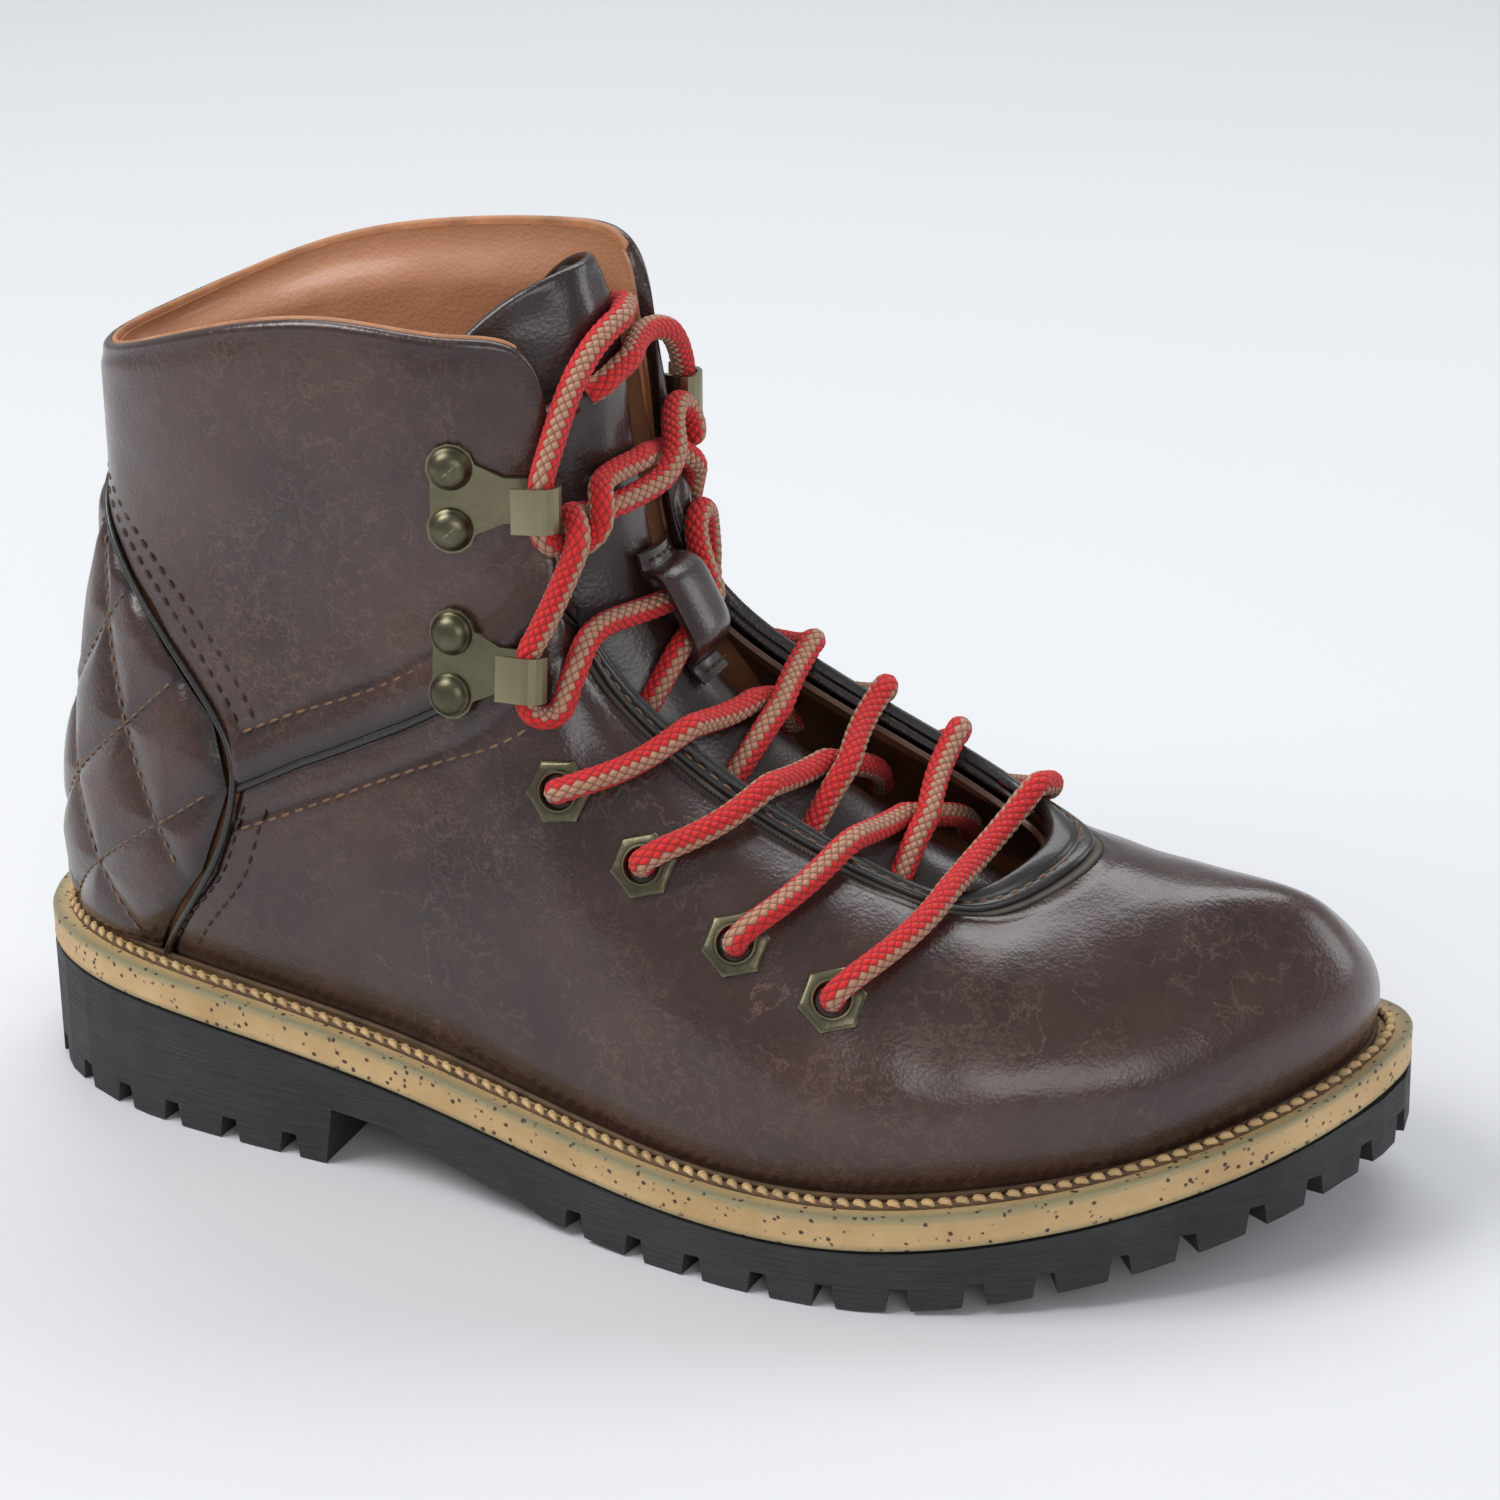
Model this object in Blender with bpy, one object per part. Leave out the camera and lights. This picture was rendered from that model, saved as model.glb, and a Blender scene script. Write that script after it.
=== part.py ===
"""A hiking boot for the right foot, as separate pieces.

Frame: +X to the toe, +Y to the medial (inner) side, +Z up, the origin under the middle of the
boot on the ground. Shapes are worked out in millimetres from the heel, then moved to the frame.
The upper is one smooth surface: u runs round the foot (0 heel, 12 toe, 24 heel again, through
the lateral side first) and v runs from the welt (0) up to the edge of the opening (1).
"""
import math

import bmesh
import bpy
import numpy as np
from mathutils import Vector
from mathutils.bvhtree import BVHTree

MM = 0.001
GAP = 0.3                    # clearance between pieces that touch
CURVE_GAP = 0.9              # the same between facets on curved walls
FRAME_SHIFT = (-153.05, 2.318)  # heel-based x and y to the middle of the boot

# Sole, from the ground up
BAND = 7.4                   # midsole and welt together
WELT = 2.2
OUTSOLE_FOREFOOT = 13.2
LAYER_GAP = 0.5              # between the curved layers of the sole
OUTSOLE_LUG = 5.0
HEEL_BREAST = 89.0

# Layers of the upper, inward from its outer face
LEATHER = 1.8
LINING = 1.1
LINING_DEPTH = 3.6
PADDING = 2.6                # extra depth of the padded collar
TOE_ROOM = 1.5               # extra depth behind the toe's stiffener

LACE_DIAMETER = 5.0
LACE_SPACING = 3.0           # between the points that are worked out
LACE_CLEARANCE = 0.4
TIP_POINTS = 8               # points of the lace's route that each tip takes
EYELET_BORE = 6.6
EYELET_ACROSS = 12.0
BARREL = 2.4                 # length of an eyelet's barrel below the leather's face

# Outline of the sole, heel first along the lateral side
SOLE = [
    (5.4, 0), (12, -18.5), (31, -33.5), (60, -41), (100, -44.5), (139, -51), (178, -59), (210, -60),
    (240, -50.5), (266, -34.5), (286, -15.5), (298, 6.5), (300, 27), (287.5, 44.5), (261, 54),
    (230, 56), (200, 52.5), (170, 45), (140, 38), (100, 35.5), (60, 38), (30, 34), (10.5, 20),
]
# Height of the welt's top along the boot
WELT_TOP = [(0, 34.5), (40, 34.5), (80, 31.5), (120, 26), (160, 21), (200, 20), (240, 23),
            (270, 28.5), (300, 37.5)]

# The upper's cage: one row for each u, from just above the welt to the opening's edge.
# The first pair is the row's place on the welt.
CAGE = [
    [(13, 0), (13, 0, 52), (15.5, 0, 72), (21, 0, 98), (27, 0, 126), (28.5, 0, 145), (27, 0, 160)],
    [(22, -20), (21, -20.5, 54), (23, -19.5, 75), (27.5, -17.5, 99), (33, -17, 127),
     (35.5, -18, 147), (36, -17.5, 163)],
    [(50, -31), (50, -35.5, 54), (52, -34, 75), (54, -30, 100), (57, -28, 127), (60, -30, 150),
     (62, -31, 173)],
    [(85, -35), (86, -39, 52), (88, -38, 74), (90, -34, 100), (91, -32, 128), (92, -33, 155),
     (92, -34, 179.5)],
    [(115, -38), (116, -43, 47), (117, -41, 70), (118, -36, 96), (118, -32, 124), (118, -31, 152),
     (118, -31, 178)],
    [(143, -44), (143, -48, 41), (142, -46, 62), (139, -40, 88), (136.5, -32, 117), (135, -26, 146),
     (134, -23, 171.5)],
    [(160, -48), (160, -52, 38), (158, -50, 58), (153, -43, 80), (147, -34, 101), (141, -27, 121),
     (136.5, -21.5, 140)],
    [(178, -52), (178, -55, 36), (176, -53, 54), (171, -46, 72), (164, -37, 88), (154, -28, 101),
     (144.5, -21, 114)],
    [(205, -53), (205, -56, 35), (203, -54, 48), (198, -47, 62), (190, -37, 75), (181, -28, 83),
     (172, -21, 92)],
    [(235, -44), (236, -47, 36), (234, -45, 48), (228, -38, 59), (220, -31, 66), (211, -24, 71),
     (201, -19, 75)],
    [(265, -27), (266, -29, 42), (262, -27, 52), (254, -22, 60), (243, -19, 65), (230, -16, 67.5),
     (217, -13, 68.5)],
    [(286, -3), (287, -4, 48), (282, -3, 59), (270, -2, 66.5), (257, -3, 69.5), (242, -3, 71),
     (226, -4, 72)],
    [(293, 18), (294.5, 17, 49), (288.5, 15, 61.5), (277, 12, 70), (260, 9, 71.5), (245, 7, 73),
     (229, 4, 74.5)],
    [(286, 38), (286, 37, 46), (280, 33, 56), (271, 26, 64), (256, 20.5, 69), (242, 15, 72.5),
     (227, 11, 76.5)],
    [(265, 49), (265, 50, 42), (261, 46, 50.5), (252, 39, 58.5), (242, 30, 66), (230, 23, 72.5),
     (218.5, 17, 79)],
    [(235, 51), (234, 52, 39), (231, 49, 49), (224, 42, 60), (217, 34, 69.5), (210, 26, 77.5),
     (202, 19.5, 86)],
    [(205, 48), (205, 51, 38), (202, 48, 51), (196, 41, 65), (189, 33, 78), (182, 26, 89),
     (174, 19, 99)],
    [(178, 42), (178, 46, 40), (176, 45, 56), (171, 40, 73), (165, 33, 90), (157, 26, 104),
     (149, 20, 116)],
    [(160, 38), (160, 42, 42), (158, 41, 60), (154, 36, 82), (149, 31, 102), (145, 26, 124),
     (140.5, 22, 143)],
    [(143, 34), (143, 38, 44), (142, 38, 66), (140, 34, 92), (138, 30, 120), (137.5, 28, 148),
     (136, 26, 177.5)],
    [(115, 30), (116, 35, 48), (117, 36, 71), (118, 34, 97), (119, 31, 125), (120, 31, 155),
     (120, 30, 185)],
    [(85, 29), (86, 34, 52), (88, 35, 74), (90, 33, 100), (91, 31, 128), (92, 31, 155),
     (91, 31, 181.5)],
    [(50, 29), (50, 34, 54), (52, 33, 75), (54, 29, 100), (57, 27, 127), (60, 28, 150),
     (61, 29, 174)],
    [(22, 19), (21, 20, 54), (23, 19, 75), (27.5, 17, 99), (33, 16.5, 127), (35.5, 17.5, 147),
     (36, 17, 164)],
]
COLUMNS = len(CAGE)
ROWS = len(CAGE[0])

# Centre line of the tongue's outer face, its half width, how far its sides fall back, and tilt
TONGUE = [
    # x, y, z, half width, drop of the sides
    (238, 5, 61.5, 14, 5),
    (222, 3, 66, 16, 10),
    (205, 1.5, 73, 17, 14),
    (185, 0.5, 84, 17.5, 15),
    (166, 0, 97, 17.5, 16),
    (151, 0, 115, 18, 17),
    (144, 0.5, 136, 19, 19),
    (141, 1, 157, 20, 22),
    (138.5, 1.5, 175, 20.5, 24),
    (134.5, 1.5, 188, 20, 25),
]


# ---------------------------------------------------------------- curves and surfaces

def spline(knots, values, at):
    """A natural cubic spline through the rows of values, read at the given places."""
    knots = np.asarray(knots, float)
    values = np.asarray(values, float).reshape(len(knots), -1)
    at = np.asarray(at, float)
    count = len(knots)
    step = np.diff(knots)
    matrix = np.zeros((count, count))
    right = np.zeros_like(values)
    matrix[0, 0] = matrix[-1, -1] = 1
    for i in range(1, count - 1):
        matrix[i, i - 1:i + 2] = step[i - 1], 2 * (step[i - 1] + step[i]), step[i]
        right[i] = 6 * ((values[i + 1] - values[i]) / step[i] - (values[i] - values[i - 1]) / step[i - 1])
    bend = np.linalg.solve(matrix, right)
    i = np.clip(np.searchsorted(knots, at, side="right") - 1, 0, count - 2)
    h = step[i][:, None]
    a = (at - knots[i])[:, None]
    b = (knots[i + 1] - at)[:, None]
    curve = (bend[i] * b ** 3 + bend[i + 1] * a ** 3) / (6 * h)
    return curve + (values[i] / h - bend[i] * h / 6) * b + (values[i + 1] / h - bend[i + 1] * h / 6) * a


def closed_spline(values, at, knots=None):
    """A spline round a closed ring of values; knots default to 0, 1, 2 and so on."""
    values = np.asarray(values, float).reshape(len(values), -1)
    count = len(values)
    knots = np.arange(count + 1.0) if knots is None else np.asarray(knots, float)
    period = knots[-1]
    wrap = 4
    around = np.concatenate([knots[-1 - wrap:-1] - period, knots, knots[1:wrap + 1] + period])
    rows = values[np.arange(-wrap, count + 1 + wrap) % count]
    return spline(around, rows, np.asarray(at, float) % period)


def sole_outline(count, inset=0.0):
    """Points round the sole, counted from the heel, moved inward by inset."""
    points = np.array(SOLE, float)
    sides = np.linalg.norm(np.roll(points, -1, 0) - points, axis=1)
    knots = np.concatenate([[0], np.cumsum(sides)])
    ring = closed_spline(points, np.linspace(0, knots[-1], count, endpoint=False), knots)
    along = np.roll(ring, -1, 0) - np.roll(ring, 1, 0)
    along /= np.linalg.norm(along, axis=1)[:, None]
    inward = np.stack([-along[:, 1], along[:, 0]], 1)
    return ring + inward * inset


def welt_top(x):
    table = np.array(WELT_TOP, float)
    return spline(table[:, 0], table[:, 1], np.clip(np.atleast_1d(x), 0, 300))[:, 0]


def cage_array():
    rows = []
    for first, *others in CAGE:
        rows.append([(first[0], first[1], welt_top(first[0])[0] + 0.6)] + others)
    return np.array(rows, float)


def upper(u, v, depth=0.0):
    """Points of the upper's surface at arrays u and v, moved inward by depth."""
    u, v = np.broadcast_arrays(np.asarray(u, float), np.asarray(v, float))
    shape = u.shape
    u, v = u.ravel(), v.ravel()
    cage = cage_array()

    def place(pu, pv):
        around = closed_spline(np.eye(COLUMNS), pu)
        across = spline(np.arange(ROWS), np.eye(ROWS), np.clip(pv, 0, 1) * (ROWS - 1))
        return np.einsum("ni,nj,ijk->nk", around, across, cage)

    small = 0.01
    point = place(u, v)
    along = place(u + small, v) - place(u - small, v)
    low, high = np.clip(v - small, 0, 1), np.clip(v + small, 0, 1)
    rise = place(u, high) - place(u, low)
    normal = np.cross(along, rise)
    normal /= np.linalg.norm(normal, axis=1)[:, None]
    depth = np.broadcast_to(np.asarray(depth, float), shape).ravel()
    return (point - normal * depth[:, None]).reshape(shape + (3,))


def smooth_step(value, start, end):
    t = np.clip((np.asarray(value, float) - start) / (end - start), 0, 1)
    return t * t * (3 - 2 * t)


def lining_depth(u, v):
    """Depth of the lining's outer face: deeper behind the padded collar, out to the edge on top."""
    u = np.asarray(u, float) % COLUMNS
    from_heel = np.minimum(u, COLUMNS - u)
    collar = (1 - smooth_step(from_heel, 3.2, 4.6)) * smooth_step(v, 0.55, 0.7)
    collar = collar * (1 - smooth_step(v, 0.93, 0.985))
    edge = smooth_step(v, 0.95, 1.0)
    toe = (1 - smooth_step(np.abs(u - 12), 2.4, 3.2)) * (1 - smooth_step(v, 0.62, 0.80))
    return LINING_DEPTH + TOE_ROOM * toe - (LINING_DEPTH - LEATHER - CURVE_GAP) * edge + PADDING * collar


# ---------------------------------------------------------------- meshes

def to_frame(points):
    points = np.array(points, float).reshape(-1, 3)
    return (points + (FRAME_SHIFT[0], FRAME_SHIFT[1], 0)) * MM


def material(name, color, roughness, metallic=0.0):
    found = bpy.data.materials.get(name)
    if found:
        return found
    made = bpy.data.materials.new(name)
    made.use_nodes = True
    shader = made.node_tree.nodes["Principled BSDF"]
    shader.inputs["Base Color"].default_value = (*color, 1)
    shader.inputs["Roughness"].default_value = roughness
    shader.inputs["Metallic"].default_value = metallic
    return made


def add_object(name, mesh, finish, collection, smooth=True):
    made = bpy.data.objects.new(name, mesh)
    collection.objects.link(made)
    if finish:
        mesh.materials.append(finish)
    if smooth:
        mesh.shade_smooth()
        mesh.set_sharp_from_angle(angle=math.radians(40))
    return made


def mesh_from(name, points, faces):
    mesh = bpy.data.meshes.new(name)
    mesh.from_pydata([tuple(p) for p in to_frame(points)], [], faces)
    mesh.validate()
    form = bmesh.new()
    form.from_mesh(mesh)
    bmesh.ops.recalc_face_normals(form, faces=form.faces)
    if form.calc_volume(signed=True) < 0:
        bmesh.ops.reverse_faces(form, faces=form.faces)
    form.to_mesh(mesh)
    form.free()
    return mesh


def grid_faces(rows, columns, closed=False):
    """Quads of a grid of points, row by row; closed joins the last column to the first."""
    faces = []
    for r in range(rows - 1):
        for c in range(columns if closed else columns - 1):
            d = (c + 1) % columns
            faces.append((r * columns + c, r * columns + d, (r + 1) * columns + d, (r + 1) * columns + c))
    return faces


def lofted(name, outer, inner, finish, closed=False):
    """A closed shell between two grids of the same size, with walls round their edges."""
    rows, columns = outer.shape[:2]
    count = rows * columns
    front = grid_faces(rows, columns, closed)
    back = [tuple(count + i for i in reversed(face)) for face in front]
    walls = []
    span = columns if closed else columns - 1
    for c in range(span):
        d = (c + 1) % columns
        top = (rows - 1) * columns
        walls.append((d, c, count + c, count + d))
        walls.append((top + c, top + d, count + top + d, count + top + c))
    if not closed:
        for r in range(rows - 1):
            a, b = r * columns, (r + 1) * columns
            walls.append((a, b, count + b, count + a))
            a, b = a + columns - 1, b + columns - 1
            walls.append((b, a, count + a, count + b))
    points = np.concatenate([outer.reshape(-1, 3), inner.reshape(-1, 3)])
    return add_object(name, mesh_from(name, points, front + back + walls), finish, PARTS)


def panel(name, u, low, high, rows, thickness, finish, depth=0.0, closed=False):
    """A piece of the upper between two v curves given at each u."""
    u = np.asarray(u, float)
    t = np.linspace(0, 1, rows)[:, None]
    v = np.asarray(low, float) * (1 - t) + np.asarray(high, float) * t
    around = np.broadcast_to(u, v.shape)
    depth = depth(around, v) if callable(depth) else depth
    outer = upper(around, v, depth)
    inner = upper(around, v, depth + thickness)
    return lofted(name, outer, inner, finish, closed)


def prism(name, outline, axis, low, high, collection=None):
    """A flat outline pulled along Z (outline in x, y) or Y (outline in x, z)."""
    form = bmesh.new()
    if axis == "Z":
        flat = [(x, y, low) for x, y in outline]
        pull = (0, 0, (high - low) * MM)
    else:
        flat = [(x, low, z) for x, z in outline]
        pull = (0, (high - low) * MM, 0)
    verts = [form.verts.new(p) for p in to_frame(flat)]
    face = form.faces.new(verts)
    made = bmesh.ops.extrude_face_region(form, geom=[face])
    moved = [g for g in made["geom"] if isinstance(g, bmesh.types.BMVert)]
    bmesh.ops.translate(form, verts=moved, vec=pull)
    bmesh.ops.recalc_face_normals(form, faces=form.faces)
    mesh = bpy.data.meshes.new(name)
    form.to_mesh(mesh)
    form.free()
    return add_object(name, mesh, None, collection or PARTS, smooth=False)


def make_cutter(cutter):
    cutter.hide_render = True
    cutter.display_type = "WIRE"
    return cutter


def boolean(target, cutter, operation):
    step = target.modifiers.new(cutter.name, "BOOLEAN")
    step.operation = operation
    step.solver = "EXACT"
    step.object = make_cutter(cutter)


def strip_profile(top, bottom, start=-5.0, end=305.0, step=10.0):
    """Side outline of a layer between two heights that are functions of x."""
    x = np.arange(start, end + step, step)
    upper_edge = np.column_stack([x, top(x)])
    lower_edge = np.column_stack([x, bottom(x)])[::-1]
    return np.concatenate([upper_edge, lower_edge])


def sole_layer(name, inset, top, bottom, finish, count=54, hole=None):
    """One layer of the sole: its plan outline met with its side outline."""
    layer = prism(name, sole_outline(count, inset), "Z", -20, 80)
    boolean(layer, prism(name + "_side", strip_profile(top, bottom), "Y", -90, 90, CUTTERS), "INTERSECT")
    if hole is not None:
        boolean(layer, prism(name + "_hole", sole_outline(count, hole), "Z", -20, 80, CUTTERS), "DIFFERENCE")
    layer.data.materials.append(finish)
    return layer


# ---------------------------------------------------------------- sole

def outsole_bottom(x):
    """Lowest face along the boot: heel, raised shank, ball on the ground and toe spring."""
    tread = np.maximum(welt_top(x) - BAND - OUTSOLE_FOREFOOT, 0)
    shank = 4.5 + 8.5 * (1 - smooth_step(x, 95, 137))
    return np.where(x < HEEL_BREAST, 0, np.where(x < 137, shank, tread))


def outsole_profile():
    x = np.concatenate([np.arange(-5, HEEL_BREAST, 15.0), [HEEL_BREAST - 0.01],
                        [HEEL_BREAST + 2, 105, 120, 130, 136.9, 143], np.arange(155, 310, 10.0)])
    top = welt_top(x) - BAND - LAYER_GAP
    return np.concatenate([np.column_stack([x, outsole_bottom(x)]), np.column_stack([x, top])[::-1]])


def block(form, centre, along, size, flare=1.0):
    """A box in a bmesh: size along the direction, across it and in height; flare widens the foot."""
    across = (-along[1], along[0])
    corners = []
    for level, wide in ((-0.5, flare), (0.5, 1.0)):
        for a, b in ((-0.5, -0.5), (0.5, -0.5), (0.5, 0.5), (-0.5, 0.5)):
            x = centre[0] + along[0] * size[0] * a + across[0] * size[1] * b * wide
            y = centre[1] + along[1] * size[0] * a + across[1] * size[1] * b * wide
            corners.append((x, y, centre[2] + size[2] * level))
    verts = [form.verts.new(p) for p in to_frame(corners)]
    for face in ((3, 2, 1, 0), (4, 5, 6, 7), (0, 1, 5, 4), (1, 2, 6, 5), (2, 3, 7, 6), (3, 0, 4, 7)):
        form.faces.new([verts[i] for i in face])


def cutter_from(name, form):
    mesh = bpy.data.meshes.new(name)
    bmesh.ops.recalc_face_normals(form, faces=form.faces)
    form.to_mesh(mesh)
    form.free()
    return add_object(name, mesh, None, CUTTERS, smooth=False)


def edge_notches():
    """Gaps between the lugs round the heel and the forefoot."""
    fine = 600
    ring = sole_outline(fine)
    step = np.linalg.norm(np.roll(ring, -1, 0) - ring, axis=1)
    run = np.concatenate([[0], np.cumsum(step)])
    form = bmesh.new()
    pitch = run[-1] / 48
    for k in range(48):
        i = int(np.searchsorted(run, (k + 0.5) * pitch)) % fine
        x, y = ring[i]
        on_tread = x < HEEL_BREAST - 7 or x > 146
        if not on_tread:
            continue
        along = ring[(i + 1) % fine] - ring[i - 1]
        along /= np.linalg.norm(along)
        inward = (-along[1], along[0])
        floor = float(outsole_bottom(np.array([x]))[0])
        centre = (x + inward[0] * 4, y + inward[1] * 4, floor)
        block(form, centre, inward, (16, 3.4, 2 * OUTSOLE_LUG), flare=1.9)
    return cutter_from("edge_notches", form)


def tread_grooves():
    """Cross grooves between the inner lugs."""
    form = bmesh.new()
    for x in (32, 52, 70):
        block(form, (x, -1, 0), (0, 1), (44, 4, 2 * OUTSOLE_LUG))
    for x in (160, 178, 196, 214, 232, 250):
        floor = float(outsole_bottom(np.array([float(x)]))[0])
        block(form, (x, 0, floor), (0, 1), (66, 4.5, 2 * OUTSOLE_LUG))
    return cutter_from("tread_grooves", form)


def build_sole():
    rubber = material("black_rubber", (0.012, 0.012, 0.013), 0.75)
    crepe = material("tan_midsole", (0.50, 0.33, 0.15), 0.7)
    board = material("insole_board", (0.35, 0.27, 0.18), 0.8)
    steel = material("shank_steel", (0.55, 0.55, 0.55), 0.4, 1.0)
    foam = material("footbed_tan", (0.40, 0.20, 0.09), 0.8)

    outsole = prism("outsole", sole_outline(72), "Z", -20, 80)
    boolean(outsole, prism("outsole_side", outsole_profile(), "Y", -90, 90, CUTTERS), "INTERSECT")
    boolean(outsole, edge_notches(), "DIFFERENCE")
    boolean(outsole, tread_grooves(), "DIFFERENCE")
    outsole.data.materials.append(rubber)

    def below_top(amount):
        return lambda x: welt_top(x) - amount

    midsole = sole_layer("midsole", 0, below_top(WELT + GAP), below_top(BAND), crepe)
    pocket = strip_profile(below_top(WELT - 1), below_top(WELT + GAP + 2.2), 56, 156)
    boolean(midsole, prism("shank_pocket", pocket, "Y", -8.3, 6.3, CUTTERS), "DIFFERENCE")
    shank_side = strip_profile(below_top(WELT + GAP + 0.3), below_top(WELT + GAP + 1.8), 71.5, 133.5)
    shank = prism("shank", shank_side, "Y", -7.5, 5.5)
    shank.data.materials.append(steel)

    sole_layer("welt", 0, below_top(0), below_top(WELT), crepe, hole=10.5)
    sole_layer("insole_board", 10.9, below_top(0), below_top(WELT), board)
    sole_layer("footbed", 14.8, below_top(-4.3), below_top(-0.3), foam, count=36)


# ---------------------------------------------------------------- upper

SEAM_U = [0, 2.42, 2.85, 3.58, 4.3, 5.1, 5.7, 6.2, 6.8]
SEAM_V = [0.33, 0.358, 0.417, 0.50, 0.588, 0.70, 0.80, 0.89, 1.0]


def seam(u):
    """Where the ankle panels meet the lower panel, the same on both sides."""
    u = np.asarray(u, float) % COLUMNS
    return np.interp(np.minimum(u, COLUMNS - u), SEAM_U, SEAM_V)


def patch_edge(v):
    """Half width in u of the heel patch at height v: a kite with its foot cut off by the welt."""
    return np.interp(v, [0, 0.06, 0.217, 0.358, 0.45, 0.56, 0.66, 0.72],
                     [1.85, 1.95, 2.28, 2.40, 2.26, 1.72, 0.95, 0.25])


def eyelet_places():
    """u, v of the eyelets, toe end first, lateral then medial."""
    lateral = [(8.2, 0.492), (7.55, 0.525), (6.72, 0.554), (5.4, 0.545)]
    return lateral, [(COLUMNS - u, v) for u, v in lateral]


def frame_at(u, v, depth=0.0):
    """Point, outward normal and upward direction of the surface."""
    point = upper(u, v, depth)
    normal = upper(u, v, depth - 1) - point
    rise = upper(u, min(v + 0.01, 1), depth) - point
    rise -= normal * np.dot(rise, normal)
    return point, normal, rise / np.linalg.norm(rise)


def turned(name, place, normal, rise, rings, sides, finish, twist=0.0, collection=None):
    """Rings of (radius, height) about a normal, with flat ends; sides may be 6 for a hexagon."""
    side = np.cross(normal, rise)
    points = []
    for radius, height in rings:
        for k in range(sides):
            angle = 2 * math.pi * (k + twist) / sides
            flat = side * math.cos(angle) + rise * math.sin(angle)
            points.append(place + flat * radius + normal * height)
    faces = grid_faces(len(rings), sides, closed=True)
    faces.append(tuple(range(sides - 1, -1, -1)))
    last = (len(rings) - 1) * sides
    faces.append(tuple(last + k for k in range(sides)))
    return add_object(name, mesh_from(name, points, faces), finish, collection or PARTS)


def build_upper():
    leather = material("brown_leather", (0.055, 0.022, 0.016), 0.4)
    lining_finish = material("tan_lining", (0.45, 0.21, 0.09), 0.55)
    foam = material("collar_foam", (0.6, 0.55, 0.45), 0.9)
    stiffener = material("stiffener", (0.5, 0.45, 0.38), 0.8)
    edge_finish = material("black_edge", (0.015, 0.012, 0.012), 0.4)

    gap_v = 0.004
    ends = 2.47

    around = np.linspace(ends, COLUMNS - ends, 52)
    top = np.where(np.abs(around - 12) < 5.2, 1.0, seam(around) - gap_v)
    v = np.linspace(0, 1, 7)[:, None] * top
    near_end = np.clip(1 - (6 - np.abs(around - 12) + 6 - ends) / 1.4, 0, 1)
    heelward = np.where(around < 12, 1, -1) * (patch_edge(np.minimum(v, 0.358)) + 0.07 - ends)
    bent = around + near_end * heelward
    low_upper = lofted("lower_upper", upper(bent, v), upper(bent, v, LEATHER), leather)

    for side in ("lateral", "medial"):
        u = np.concatenate([np.linspace(0.03, 2.3, 6), np.linspace(2.6, 6.75, 12)])
        low = np.where(u < 2.42, np.interp(u, [0, 0.25, 0.95, 1.72, 2.26, 2.42],
                                           [0.73, 0.73, 0.67, 0.57, 0.46, 0.37]), seam(u)) + gap_v
        low = np.minimum(low, 0.985)
        if side == "medial":
            u = COLUMNS - u
        panel("ankle_panel_" + side, u, low, np.ones_like(u), 7, LEATHER, leather)

    v = np.linspace(0.0, 0.715, 11)[:, None]
    t = np.linspace(-1, 1, 13)[None, :]
    around = t * patch_edge(v)
    v = np.broadcast_to(v, around.shape)
    lifted = -2.0 * np.cos(t * math.pi / 2) ** 0.5 * np.sin(np.clip(v / 0.715, 0, 1) * math.pi) ** 0.5
    outer = upper(around, v, lifted)
    inner = upper(around, v, LEATHER - 0.5)
    lofted("heel_patch", outer, inner, leather)

    around = np.linspace(0, COLUMNS, 48, endpoint=False)
    levels = np.array([0, 0.16, 0.30, 0.44, 0.58, 0.70, 0.80, 0.90, 0.96, 1.0])
    grid_u, grid_v = np.meshgrid(around, levels)
    depth = lining_depth(grid_u, grid_v)
    lining = lofted("lining", upper(grid_u, grid_v, depth), upper(grid_u, grid_v, depth + LINING),
                    lining_finish, closed=True)

    around = np.arange(-8, 9) / 2
    grid_u, grid_v = np.meshgrid(around, levels[(levels > 0.65) & (levels < 0.95)])
    inner = lining_depth(grid_u, grid_v) - GAP
    lofted("collar_padding", upper(grid_u, grid_v, LEATHER + CURVE_GAP), upper(grid_u, grid_v, inner), foam)

    around = np.linspace(-2.5, 2.5, 11)
    panel("heel_counter", around, 0.02 + 0 * around, 0.40 - 0.012 * around ** 2, 5, 0.6, stiffener,
          LEATHER + 0.75)
    around = np.linspace(9.9, 14.1, 13)
    panel("toe_puff", around, 0.02 + 0 * around, 0.52 - 0.03 * (around - 12) ** 2, 6, 0.7, stiffener,
          LEATHER + CURVE_GAP + 0.7)

    around = np.linspace(6.95, 11.96, 21)
    panel("facing_lateral", around, 0.90 + 0 * around, 0.995 + 0 * around, 3, 1.1, edge_finish, -2.0)
    panel("facing_medial", COLUMNS - around, 0.90 + 0 * around, 0.995 + 0 * around, 3, 1.1,
          edge_finish, -2.0)
    return low_upper, lining


def build_eyelets(leather_piece, lining_piece):
    brass = material("antique_brass", (0.20, 0.17, 0.10), 0.35, 1.0)
    bore = EYELET_BORE / 2
    barrel = bore + 0.6
    holes = bmesh.new()
    wide_holes = bmesh.new()
    for side, places in zip(("lateral", "medial"), eyelet_places()):
        for number, (u, v) in enumerate(places, 1):
            place, normal, rise = frame_at(u, v)
            eyelet_ring(f"eyelet_{side}_{number}", place, normal, rise, bore, barrel, brass)
            hole_rings(holes, place, normal, rise, barrel + GAP)
            hole_rings(wide_holes, place, normal, rise, barrel + 0.8)
    boolean(leather_piece, cutter_from("eyelet_holes", holes), "DIFFERENCE")
    boolean(lining_piece, cutter_from("lining_holes", wide_holes), "DIFFERENCE")


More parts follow.
